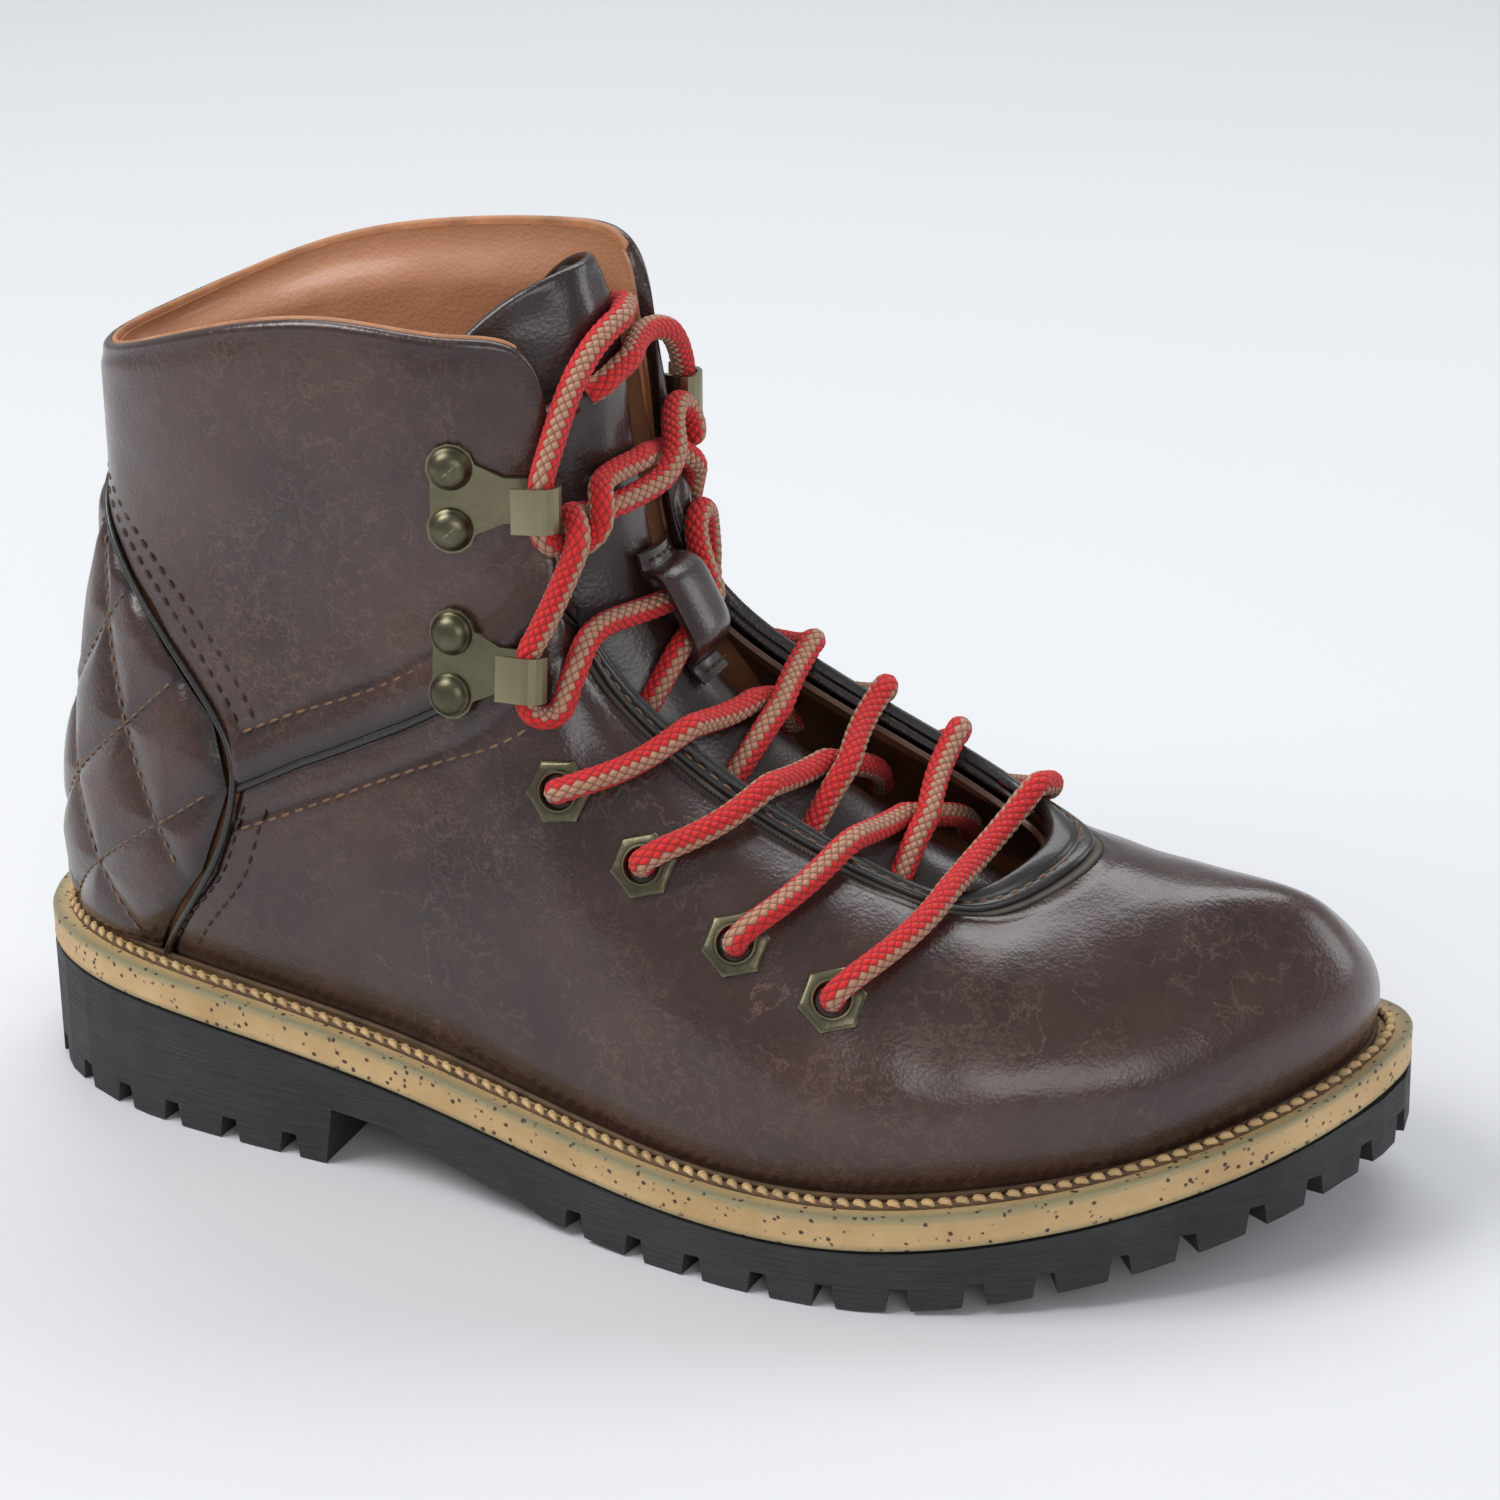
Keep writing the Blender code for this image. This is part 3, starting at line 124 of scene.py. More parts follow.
TONGUE = [
    # x, y, z, half width, drop of the sides
    (238, 5, 61.5, 14, 5),
    (222, 3, 66, 16, 10),
    (205, 1.5, 73, 17, 14),
    (185, 0.5, 84, 17.5, 15),
    (166, 0, 97, 17.5, 16),
    (151, 0, 115, 18, 17),
    (144, 0.5, 136, 19, 19),
    (141, 1, 157, 20, 22),
    (138.5, 1.5, 175, 20.5, 24),
    (134.5, 1.5, 188, 20, 25),
]


def spline(knots, values, at):
    """A natural cubic spline through the rows of values, read at the given places."""
    knots = np.asarray(knots, float)
    values = np.asarray(values, float).reshape(len(knots), -1)
    at = np.asarray(at, float)
    count = len(knots)
    step = np.diff(knots)
    matrix = np.zeros((count, count))
    right = np.zeros_like(values)
    matrix[0, 0] = matrix[-1, -1] = 1
    for i in range(1, count - 1):
        matrix[i, i - 1:i + 2] = step[i - 1], 2 * (step[i - 1] + step[i]), step[i]
        right[i] = 6 * ((values[i + 1] - values[i]) / step[i] - (values[i] - values[i - 1]) / step[i - 1])
    bend = np.linalg.solve(matrix, right)
    i = np.clip(np.searchsorted(knots, at, side="right") - 1, 0, count - 2)
    h = step[i][:, None]
    a = (at - knots[i])[:, None]
    b = (knots[i + 1] - at)[:, None]
    curve = (bend[i] * b ** 3 + bend[i + 1] * a ** 3) / (6 * h)
    return curve + (values[i] / h - bend[i] * h / 6) * b + (values[i + 1] / h - bend[i + 1] * h / 6) * a


def closed_spline(values, at, knots=None):
    """A spline round a closed ring of values; knots default to 0, 1, 2 and so on."""
    values = np.asarray(values, float).reshape(len(values), -1)
    count = len(values)
    knots = np.arange(count + 1.0) if knots is None else np.asarray(knots, float)
    period = knots[-1]
    wrap = 4
    around = np.concatenate([knots[-1 - wrap:-1] - period, knots, knots[1:wrap + 1] + period])
    rows = values[np.arange(-wrap, count + 1 + wrap) % count]
    return spline(around, rows, np.asarray(at, float) % period)


def sole_outline(count, inset=0.0):
    """Points round the sole, counted from the heel, moved inward by inset."""
    points = np.array(SOLE, float)
    sides = np.linalg.norm(np.roll(points, -1, 0) - points, axis=1)
    knots = np.concatenate([[0], np.cumsum(sides)])
    ring = closed_spline(points, np.linspace(0, knots[-1], count, endpoint=False), knots)
    along = np.roll(ring, -1, 0) - np.roll(ring, 1, 0)
    along /= np.linalg.norm(along, axis=1)[:, None]
    inward = np.stack([-along[:, 1], along[:, 0]], 1)
    return ring + inward * inset


def welt_top(x):
    table = np.array(WELT_TOP, float)
    return spline(table[:, 0], table[:, 1], np.clip(np.atleast_1d(x), 0, 300))[:, 0]


def cage_array():
    rows = []
    for first, *others in CAGE:
        rows.append([(first[0], first[1], welt_top(first[0])[0] + 0.6)] + others)
    return np.array(rows, float)


def upper(u, v, depth=0.0):
    """Points of the upper's surface at arrays u and v, moved inward by depth."""
    u, v = np.broadcast_arrays(np.asarray(u, float), np.asarray(v, float))
    shape = u.shape
    u, v = u.ravel(), v.ravel()
    cage = cage_array()

    def place(pu, pv):
        around = closed_spline(np.eye(COLUMNS), pu)
        across = spline(np.arange(ROWS), np.eye(ROWS), np.clip(pv, 0, 1) * (ROWS - 1))
        return np.einsum("ni,nj,ijk->nk", around, across, cage)

    small = 0.01
    point = place(u, v)
    along = place(u + small, v) - place(u - small, v)
    low, high = np.clip(v - small, 0, 1), np.clip(v + small, 0, 1)
    rise = place(u, high) - place(u, low)
    normal = np.cross(along, rise)
    normal /= np.linalg.norm(normal, axis=1)[:, None]
    depth = np.broadcast_to(np.asarray(depth, float), shape).ravel()
    return (point - normal * depth[:, None]).reshape(shape + (3,))


def smooth_step(value, start, end):
    t = np.clip((np.asarray(value, float) - start) / (end - start), 0, 1)
    return t * t * (3 - 2 * t)


def lining_depth(u, v):
    """Depth of the lining's outer face: deeper behind the padded collar, out to the edge on top."""
    u = np.asarray(u, float) % COLUMNS
    from_heel = np.minimum(u, COLUMNS - u)
    collar = (1 - smooth_step(from_heel, 3.2, 4.6)) * smooth_step(v, 0.55, 0.7)
    collar = collar * (1 - smooth_step(v, 0.93, 0.985))
    edge = smooth_step(v, 0.95, 1.0)
    toe = (1 - smooth_step(np.abs(u - 12), 2.4, 3.2)) * (1 - smooth_step(v, 0.62, 0.80))
    return LINING_DEPTH + TOE_ROOM * toe - (LINING_DEPTH - LEATHER - CURVE_GAP) * edge + PADDING * collar


def to_frame(points):
    points = np.array(points, float).reshape(-1, 3)
    return (points + (FRAME_SHIFT[0], FRAME_SHIFT[1], 0)) * MM

SEAM_U = [0, 2.42, 2.85, 3.58, 4.3, 5.1, 5.7, 6.2, 6.8]
SEAM_V = [0.33, 0.358, 0.417, 0.50, 0.588, 0.70, 0.80, 0.89, 1.0]

def seam(u):
    """Where the ankle panels meet the lower panel, the same on both sides."""
    u = np.asarray(u, float) % COLUMNS
    return np.interp(np.minimum(u, COLUMNS - u), SEAM_U, SEAM_V)


def patch_edge(v):
    """Half width in u of the heel patch at height v: a kite with its foot cut off by the welt."""
    return np.interp(v, [0, 0.06, 0.217, 0.358, 0.45, 0.56, 0.66, 0.72],
                     [1.85, 1.95, 2.28, 2.40, 2.26, 1.72, 0.95, 0.25])


def eyelet_places():
    """u, v of the eyelets, toe end first, lateral then medial."""
    lateral = [(8.2, 0.492), (7.55, 0.525), (6.72, 0.554), (5.4, 0.545)]
    return lateral, [(COLUMNS - u, v) for u, v in lateral]


def frame_at(u, v, depth=0.0):
    """Point, outward normal and upward direction of the surface."""
    point = upper(u, v, depth)
    normal = upper(u, v, depth - 1) - point
    rise = upper(u, min(v + 0.01, 1), depth) - point
    rise -= normal * np.dot(rise, normal)
    return point, normal, rise / np.linalg.norm(rise)


def tongue_surface(t, s, depth=0.0):
    """t runs 0 at the sewn base to 1 at the top, s from -1 lateral to 1 medial."""
    table = np.array(TONGUE, float)
    run = np.concatenate([[0], np.cumsum(np.linalg.norm(np.diff(table[:, :3], axis=0), axis=1))])
    run /= run[-1]
    t, s = np.broadcast_arrays(np.asarray(t, float), np.asarray(s, float))
    shape = t.shape
    t, s = t.ravel(), s.ravel()

    def place(t, s):
        row = spline(run, table, np.clip(t, 0, 1))
        ahead = spline(run, table[:, :3], np.clip(t + 0.01, 0, 1))
        behind = spline(run, table[:, :3], np.clip(t - 0.01, 0, 1))
        along = ahead - behind
        along[:, 1] = 0
        along /= np.linalg.norm(along, axis=1)[:, None]
        outward = np.column_stack([along[:, 2], 0 * s, -along[:, 0]])
        point = row[:, :3].copy()
        point[:, 1] += s * row[:, 3]
        return point - outward * (row[:, 4] * np.abs(s) ** 2.2)[:, None]

    point = place(t, s)
    rise = place(np.clip(t + 0.01, 0, 1), s) - place(np.clip(t - 0.01, 0, 1), s)
    across = place(t, s + 0.02) - place(t, s - 0.02)
    normal = np.cross(across, rise)
    normal /= np.linalg.norm(normal, axis=1)[:, None]
    depth = np.broadcast_to(np.asarray(depth, float), shape).ravel()
    return (point - normal * depth[:, None]).reshape(shape + (3,))


def sheet_normals(points):
    """Unit normals of a grid of points."""
    normal = np.cross(np.gradient(points, axis=1), np.gradient(points, axis=0))
    return normal / np.linalg.norm(normal, axis=2)[:, :, None]

GUSSET_SLACK = (7.0, 2.6)     # room between the lining and the gusset, at the eyelets and above
HOOK_V = (0.617, 0.812)       # heights of the lower and the upper hook on the shaft
HOOK_U = 4.35
PLATE_LIFT = 1.1
PLATE_THICK = 1.0
RIVET_AT = -6.5

class Hook:
    """Where a hook sits: a runs forward to the throat, b up and h out of the leather."""

    def __init__(self, side, v):
        u = HOOK_U if side == "lateral" else COLUMNS - HOOK_U
        self.origin, self.out, self.up = frame_at(u, v)
        self.forward = np.cross(self.out, self.up) * (1 if side == "medial" else -1)
        if self.forward[0] < 0:
            self.forward = -self.forward

    def at(self, a, b, h):
        return self.origin + self.forward * a + self.up * b + self.out * h

LOOP_T = 0.585                # middle of the loop along the tongue
LOOP_HALF = 0.27              # half width of the loop, as a share of the tongue's half width
TONGUE_RUN = 178.0            # length of the tongue

def dive(place, out, before, after):
    """Lace through an eyelet: over the rim from before, down the bore and away to after."""
    def flat(target):
        away = target - place
        away = away - out * np.dot(away, out)
        return away / np.linalg.norm(away)
    toward, leaving = flat(before), flat(after)
    rim = [(8.5, 5.0), (3.6, 4.7), (0.9, 2.9), (0.0, 0.4)]
    inside = [(0.2, -3.0), (0.9, -6.0), (3.6, -8.0), (8.5, -7.9)]
    return ([place + toward * r + out * h for r, h in rim]
            + [place + leaving * r + out * h for r, h in inside])


def around_hook(hook, upward=True):
    """Lace round behind a hook's fold."""
    steps = [(17.5, -9.4, 2.6), (13.6, -8.0, 4.4), (11.6, -4.0, 5.0), (11.6, 4.0, 5.0), (13.6, 8.0, 4.4),
             (17.5, 9.4, 2.6)]
    points = [hook.at(*step) for step in steps]
    return points if upward else points[::-1]


def lace_route():
    """Points of the whole lace, from its lateral end, down through the eyelets and up again."""
    lateral, medial = eyelet_places()
    eye = {("L", k): frame_at(*p) for k, p in enumerate(lateral, 1)}
    eye.update({("M", k): frame_at(*p) for k, p in enumerate(medial, 1)})
    hooks = {(side, k): Hook(side, v) for side in ("lateral", "medial") for k, v in enumerate(HOOK_V)}

    def on(u, v, lift):
        return upper(u, v, -lift)

    def tongue(t, s, lift):
        return tongue_surface(t, s, -lift)

    # Crossing bars: eyelet left behind, edge passed under, places over the tongue, edge passed over
    def bar(under_u, places, over_u):
        points = [on(under_u, 0.90, -7.8), on(under_u, 0.985, -6.4)]
        points += [tongue(*place) for place in places]
        return points + [on(over_u, 0.985, 5.6), on(over_u, 0.88, 5.4)]

    def over(t):
        return [(t, -0.5, 4.2), (t + 0.015, -0.1, 6.5), (t + 0.035, 0.35, 9.2)]

    def below(t):
        return [(t, 0.5, 3.4), (t + 0.015, 0.1, 3.4), (t + 0.035, -0.5, 5.4)]

    centre = [on(13.9, 0.88, 5.4), on(13.9, 0.985, 5.6), tongue(0.12, 0.25, 8.5), tongue(0.135, -0.35, 7.5),
              on(9.55, 0.985, 5.6), on(9.55, 0.88, 5.4)]
    half_a = [centre,
              bar(9.2, over(0.20), 15.1),
              bar(15.5, below(0.31), 8.05),
              bar(7.95, over(0.41), 16.2)]
    half_b = [bar(14.75, below(0.205), 8.6),
              bar(8.45, over(0.31), 15.65),
              bar(16.35, below(0.415), 7.5)]
    stops_a = [("L", 1), ("M", 2), ("L", 3), ("M", 4)]
    stops_b = [("M", 1), ("L", 2), ("M", 3), ("L", 4)]

    loop_a = [on(16.95, 0.90, -7.8), on(16.95, 0.985, -6.6), tongue(0.53, 0.62, 3.4),
              tongue(LOOP_T + 0.018, 0.3, 3.2), tongue(LOOP_T + 0.018, -0.3, 3.2),
              tongue(0.605, -0.75, 6.0), on(6.6, 0.985, 4.6), on(5.9, 0.86, 3.4)]
    loop_b = [on(7.4, 0.90, -7.8), on(7.4, 0.985, -6.6), tongue(0.53, -0.6, 3.6),
              tongue(LOOP_T - 0.018, -0.3, 3.2), tongue(LOOP_T - 0.018, 0.3, 3.4),
              tongue(0.60, 0.62, 8.6), on(17.7, 0.985, 4.8), on(18.3, 0.86, 3.4)]

    half_a.append(loop_a)
    half_b.append(loop_b)

    def chain(stops, bars):
        points = []
        for stop, last, following in zip(stops, bars, bars[1:]):
            place, out, _ = eye[stop]
            points += dive(place, out, last[-1], following[0]) + following
        return points

    path_a = chain(stops_a, half_a)
    path_b = chain(stops_b, [centre[::-1]] + half_b)

    top_a = around_hook(hooks[("lateral", 0)])
    top_a += [on(5.45, 0.90, 3.2), on(5.75, 0.965, 4.4), tongue(0.715, -0.45, 4.6), tongue(0.75, 0.1, 8.4),
              tongue(0.785, 0.5, 7.4), on(18.55, 0.965, 5.2), on(18.8, 0.90, 3.4)]
    top_a += around_hook(hooks[("medial", 1)])
    top_a += [on(18.95, 0.965, 3.6), tongue(0.905, 0.6, 5.4), tongue(0.895, 0.2, 3.4),
              tongue(0.87, -0.35, 3.2), tongue(0.845, -0.75, 3.4), tongue(0.81, -0.98, 3.6)]
    top_b = around_hook(hooks[("medial", 0)])
    top_b += [on(18.5, 0.90, 3.2), on(18.3, 0.965, 4.2), tongue(0.74, 0.55, 3.4), tongue(0.755, 0.1, 3.2),
              tongue(0.775, -0.45, 4.4), on(5.5, 0.965, 4.4), on(5.3, 0.90, 3.4)]
    top_b += around_hook(hooks[("lateral", 1)])
    top_b += [on(5.2, 0.965, 3.6), tongue(0.905, -0.6, 8.8), tongue(0.935, -0.1, 5.0),
              tongue(0.945, 0.4, 3.2), tongue(0.92, 0.8, 3.2), tongue(0.88, 1.0, 3.4)]
    return top_a[::-1] + path_a[::-1] + centre[::-1] + path_b + top_b


def smooth_route(points, spacing):
    """Evenly spaced points on a curve through the route's own points."""
    points = np.array(points)
    gaps = np.linalg.norm(np.diff(points, axis=0), axis=1)
    knots = np.concatenate([[0], np.cumsum(gaps ** 0.75)])
    fine = spline(knots, points, np.linspace(0, knots[-1], 4000))
    run = np.concatenate([[0], np.cumsum(np.linalg.norm(np.diff(fine, axis=0), axis=1))])
    even = np.linspace(0, run[-1], int(run[-1] / spacing) + 1)
    return np.column_stack([np.interp(even, run, fine[:, k]) for k in range(3)])


def push_clear(tree, place, reach):
    """The move that takes a place at least reach away from every piece."""
    found, normal, _, _ = tree.find_nearest(Vector(place * MM))
    away = place - np.array(found) / MM
    distance = max(np.linalg.norm(away), 0.01)
    if np.dot(away, np.array(normal)) < 0 and distance < 0.6:
        return -away - away / distance * 0.5
    if distance < reach:
        return away / distance * min(reach - distance, 0.6)
    return None


def settle(route, tree, rounds=150):
    """Swells the lace to its full size while every piece and the lace itself push it clear."""
    route = to_frame(route) / MM
    full = LACE_DIAMETER / 2 + LACE_CLEARANCE
    count = len(route)
    apart = np.abs(np.arange(count)[:, None] - np.arange(count)[None, :]) > 8 / LACE_SPACING
    for turn in range(rounds):
        reach = full * min(1.0, 0.4 + 0.6 * turn / (0.5 * rounds))
        pull = 0.22 if turn < 0.8 * rounds else 0.06
        between = 0.5 * (route[:-2] + route[2:])
        route[1:-1] += pull * (between - route[1:-1])
        gap = route[:, None] - route[None, :]
        far = np.linalg.norm(gap, axis=2)
        close = apart & (far < 2 * reach)
        push = np.where(close, np.minimum(2 * reach - far, 0.8) / np.maximum(far, 0.1), 0)
        route += 0.5 * np.einsum("ij,ijk->ik", push, gap)
        for k in range(count):
            move = push_clear(tree, route[k], reach)
            if move is not None:
                route[k] += move
        for k in range(count - 1):
            move = push_clear(tree, 0.5 * (route[k] + route[k + 1]), reach)
            if move is not None:
                route[k] += 0.6 * move
                route[k + 1] += 0.6 * move
    return route - (FRAME_SHIFT[0], FRAME_SHIFT[1], 0)


# ---------------------------------------------------------------- camera, lights and floor

def make_camera():
    azimuth, elevation, roll = (math.radians(a) for a in (23.492, 23.993, -1.127))
    back = Vector((math.sin(azimuth) * math.cos(elevation), -math.cos(azimuth) * math.cos(elevation),
                   math.sin(elevation)))
    side = Vector((math.cos(azimuth), math.sin(azimuth), 0))
    above = back.cross(side)
    right = side * math.cos(roll) + above * math.sin(roll)
    up = above * math.cos(roll) - side * math.sin(roll)
    target = Vector(to_frame((167.76, 0, 88.125))[0])
    camera = bpy.data.objects.new("camera", bpy.data.cameras.new("camera"))
    bpy.context.scene.collection.objects.link(camera)
    camera.data.lens = 116.72
    camera.data.sensor_width = 36
    camera.data.clip_start = 0.05
    turn = Matrix((right, up, back)).transposed().to_4x4()
    turn.translation = target + back * 0.9813
    camera.matrix_world = turn
    bpy.context.scene.camera = camera
    return side, back


def make_light(name, place, target, size, energy, color=(1, 1, 1)):
    data = bpy.data.lights.new(name, "AREA")
    data.shape = "RECTANGLE"
    data.size, data.size_y = size
    data.energy = energy
    data.color = color
    light = bpy.data.objects.new(name, data)
    bpy.context.scene.collection.objects.link(light)
    light.location = place
    light.rotation_euler = (Vector(target) - Vector(place)).to_track_quat("-Z", "Y").to_euler()


SIDE, BACK = make_camera()
FORE = Vector((BACK.x, BACK.y, 0)).normalized()


def from_camera(right, toward, height):
    return tuple(SIDE * right + FORE * toward + Vector((0, 0, height)))


make_light("key", from_camera(-0.85, 0.15, 1.15), (0, 0, 0.08), (0.75, 0.75), 13)
make_light("top", from_camera(0.15, -0.75, 1.25), (0, 0, 0.08), (1.3, 0.6), 9, (0.96, 0.98, 1))
make_light("front", from_camera(0.35, 1.5, 0.75), (0, 0, 0.06), (1.0, 0.7), 6)
make_light("right", from_camera(1.2, -0.2, 0.5), (0.1, 0, 0.06), (0.5, 0.8), 3.5, (0.94, 0.97, 1))

world = bpy.data.worlds.new("studio")
bpy.context.scene.world = world
world.use_nodes = True
world.node_tree.nodes["Background"].inputs["Color"].default_value = (0.95, 0.97, 1.0, 1)
world.node_tree.nodes["Background"].inputs["Strength"].default_value = 0.42
bpy.context.scene.view_settings.view_transform = "Standard"


# ---------------------------------------------------------------- materials

def node(tree, kind, inputs=None, **settings):
    """A shader node; an input given as a socket is linked, anything else is set."""
    made = tree.nodes.new(kind)
    for key, value in settings.items():
        setattr(made, key, value)
    for key, value in (inputs or {}).items():
        if isinstance(value, bpy.types.NodeSocket):
            tree.links.new(value, made.inputs[key])
        else:
            made.inputs[key].default_value = value
    return made


def coordinates(tree):
    return node(tree, "ShaderNodeTexCoord").outputs["Object"]


def noise(tree, where, scale, detail=4.0, roughness=0.55, output="Fac"):
    return node(tree, "ShaderNodeTexNoise", {"Vector": where, "Scale": scale, "Detail": detail,
                                             "Roughness": roughness}).outputs[output]


def cells(tree, where, scale, feature="F1", randomness=1.0):
    return node(tree, "ShaderNodeTexVoronoi", {"Vector": where, "Scale": scale, "Randomness": randomness},
                feature=feature).outputs["Distance"]


def math_node(tree, operation, a, b=0.0, c=0.0, clamp=False):
    return node(tree, "ShaderNodeMath", {0: a, 1: b, 2: c}, operation=operation, use_clamp=clamp).outputs[0]


def ranged(tree, value, low, high, out_low=0.0, out_high=1.0):
    return node(tree, "ShaderNodeMapRange", {"Value": value, "From Min": low, "From Max": high,
                                             "To Min": out_low, "To Max": out_high}).outputs[0]


def mixed(tree, factor, a, b):
    made = node(tree, "ShaderNodeMix", data_type="RGBA")
    for index, value in ((0, factor), (6, a), (7, b)):
        if isinstance(value, bpy.types.NodeSocket):
            tree.links.new(value, made.inputs[index])
        else:
            made.inputs[index].default_value = (*value, 1) if isinstance(value, tuple) else value
    return made.outputs[2]


def shifted(tree, where, scale, amount):
    """Coordinates pushed about by a noise, so that cells and lines are not straight."""
    wander = node(tree, "ShaderNodeVectorMath", {0: noise(tree, where, scale, 3, output="Color"),
                                                 1: (0.5, 0.5, 0.5)}, operation="SUBTRACT").outputs[0]
    wander = node(tree, "ShaderNodeVectorMath", {0: wander, "Scale": amount}, operation="SCALE").outputs[0]
    return node(tree, "ShaderNodeVectorMath", {0: where, 1: wander}, operation="ADD").outputs[0]


def bump(tree, height, strength, distance, normal=None):
    inputs = {"Height": height, "Strength": strength, "Distance": distance}
    if normal is not None:
        inputs["Normal"] = normal
    return node(tree, "ShaderNodeBump", inputs).outputs[0]


def new_material(name, **values):
    made = bpy.data.materials.new(name)
    made.use_nodes = True
    shader = made.node_tree.nodes["Principled BSDF"]
    for key, value in values.items():
        socket = key.replace("_", " ").title().replace("Ior", "IOR")
        shader.inputs[socket].default_value = (*value, 1) if isinstance(value, tuple) else value
    return made, made.node_tree, shader


def attribute(tree, name):
    return node(tree, "ShaderNodeAttribute", attribute_name=name).outputs["Fac"]


def ridges(tree, where, scale, width):
    """Thin wandering lines where a noise crosses its middle value."""
    off = math_node(tree, "ABSOLUTE", math_node(tree, "SUBTRACT", noise(tree, where, scale, 6, 0.62), 0.5))
    return ranged(tree, off, 0.0, width, 1, 0)


def leather(name, dark, middle, crease, rough, crackle=1.0, pebble=1.0):
    """Coated leather: two tones, a net of paler creases, fine grain and burnished edges; a per-point
    attribute darkens it, for real burnish and for painted shade.
    """
    made, tree, shader = new_material(name, coat_weight=0.40, coat_roughness=0.20)
    where = coordinates(tree)
    wide = shifted(tree, where, 55, 0.016)
    close = shifted(tree, where, 190, 0.005)
    net = ridges(tree, wide, 58, 0.011)
    fine = ridges(tree, close, 170, 0.020)
    patches = ranged(tree, noise(tree, where, 24, 5, 0.6), 0.42, 0.66)
    other = ranged(tree, noise(tree, where, 37, 4, 0.6), 0.40, 0.62)
    lines = math_node(tree, "MAXIMUM", math_node(tree, "MULTIPLY", net, other),
                      math_node(tree, "MULTIPLY", fine, patches))
    lines = math_node(tree, "MULTIPLY", lines, crackle, clamp=True)
    tone = ranged(tree, noise(tree, where, 16, 7, 0.65), 0.32, 0.68)
    color = mixed(tree, tone, dark, middle)
    color = mixed(tree, math_node(tree, "MULTIPLY", lines, 0.42), color, crease)
    # Darker where the attribute says: real burnish on edges and seams, and painted shade on the lining under
    # the throat.
    wear_and_shade = attribute(tree, "burnish_and_shade")
    color = mixed(tree, wear_and_shade, color, tuple(c * 0.22 for c in dark))
    tree.links.new(color, shader.inputs["Base Color"])
    gloss = ranged(tree, noise(tree, where, 90, 5, 0.6), 0.3, 0.7, rough - 0.07, rough + 0.09)
    gloss = math_node(tree, "ADD", gloss, math_node(tree, "MULTIPLY", lines, 0.15))
    tree.links.new(gloss, shader.inputs["Roughness"])
    grain = cells(tree, where, 1150)
    pores = noise(tree, where, 1900, 3)
    normal = bump(tree, grain, 0.16 * pebble, 0.0004)
    normal = bump(tree, pores, 0.14 * pebble, 0.0003, normal)
    normal = bump(tree, lines, -0.6, 0.0007, normal)
    normal = bump(tree, noise(tree, wide, 70, 4), 0.25, 0.0016, normal)
    tree.links.new(normal, shader.inputs["Normal"])
    return made


def plain(name, color, rough, scale, depth, tone=0.25, metallic=0.0, second=None):
    """A finish with a mottled tone and a fine bump."""
    made, tree, shader = new_material(name, metallic=metallic)
    where = coordinates(tree)
    spots = ranged(tree, noise(tree, where, scale * 0.3, 5, 0.6), 0.3, 0.7)
    paler = second or tuple(min(c * (1 + tone), 1) for c in color)
    mottled = mixed(tree, spots, tuple(c * (1 - tone) for c in color), paler)
    tree.links.new(mottled, shader.inputs["Base Color"])
    tree.links.new(ranged(tree, noise(tree, where, scale, 4), 0.3, 0.7, rough - 0.08, rough + 0.08),
                   shader.inputs["Roughness"])
    tree.links.new(bump(tree, noise(tree, where, scale * 2, 3), 0.35, depth), shader.inputs["Normal"])
    return made


def rubber_material():
    made, tree, shader = new_material("outsole_rubber")
    where = coordinates(tree)
    stretched = node(tree, "ShaderNodeMapping", {"Vector": where, "Scale": (90, 90, 1500)}).outputs[0]
    ribs = noise(tree, stretched, 1.0, 3, 0.6)
    grit = noise(tree, where, 1300, 3)
    dust = ranged(tree, noise(tree, where, 45, 6, 0.7), 0.35, 0.75)
    color = mixed(tree, dust, (0.016, 0.016, 0.017), (0.035, 0.036, 0.038))
    tree.links.new(color, shader.inputs["Base Color"])
    tree.links.new(ranged(tree, ribs, 0.3, 0.7, 0.55, 0.8), shader.inputs["Roughness"])
    tree.links.new(bump(tree, grit, 0.25, 0.0004, bump(tree, ribs, 0.7, 0.0009)), shader.inputs["Normal"])
    return made


def band_material():
    """Tan rubber with dark specks, and greenish edges where the layers meet."""
    made, tree, shader = new_material("speckled_band")
    where = coordinates(tree)
    warped = shifted(tree, where, 300, 0.001)
    speck = ranged(tree, cells(tree, warped, 520), 0.20, 0.30, 1, 0)
    keep = ranged(tree, noise(tree, where, 330, 2), 0.43, 0.50)
    speck = math_node(tree, "MULTIPLY", speck, keep)
    color = mixed(tree, ranged(tree, noise(tree, where, 60, 5), 0.3, 0.7), (0.46, 0.29, 0.125),
                  (0.60, 0.41, 0.20))
    color = mixed(tree, attribute(tree, "edge"), color, (0.25, 0.22, 0.12))
    color = mixed(tree, speck, color, (0.06, 0.035, 0.02))
    tree.links.new(color, shader.inputs["Base Color"])
    shader.inputs["Roughness"].default_value = 0.55
    tree.links.new(bump(tree, noise(tree, where, 900, 4), 0.35, 0.0005), shader.inputs["Normal"])
    return made


def brass_material():
    made, tree, shader = new_material("aged_brass", metallic=1.0)
    where = coordinates(tree)
    age = ranged(tree, noise(tree, where, 160, 6, 0.7), 0.35, 0.7)
    color = mixed(tree, age, (0.085, 0.078, 0.050), (0.155, 0.140, 0.088))
    edge = node(tree, "ShaderNodeNewGeometry").outputs["Pointiness"]
    color = mixed(tree, ranged(tree, edge, 0.54, 0.68), color, (0.38, 0.34, 0.21))
    tree.links.new(color, shader.inputs["Base Color"])
    tree.links.new(ranged(tree, age, 0, 1, 0.42, 0.30), shader.inputs["Roughness"])
    tree.links.new(bump(tree, noise(tree, where, 700, 3), 0.15, 0.0003), shader.inputs["Normal"])
    return made


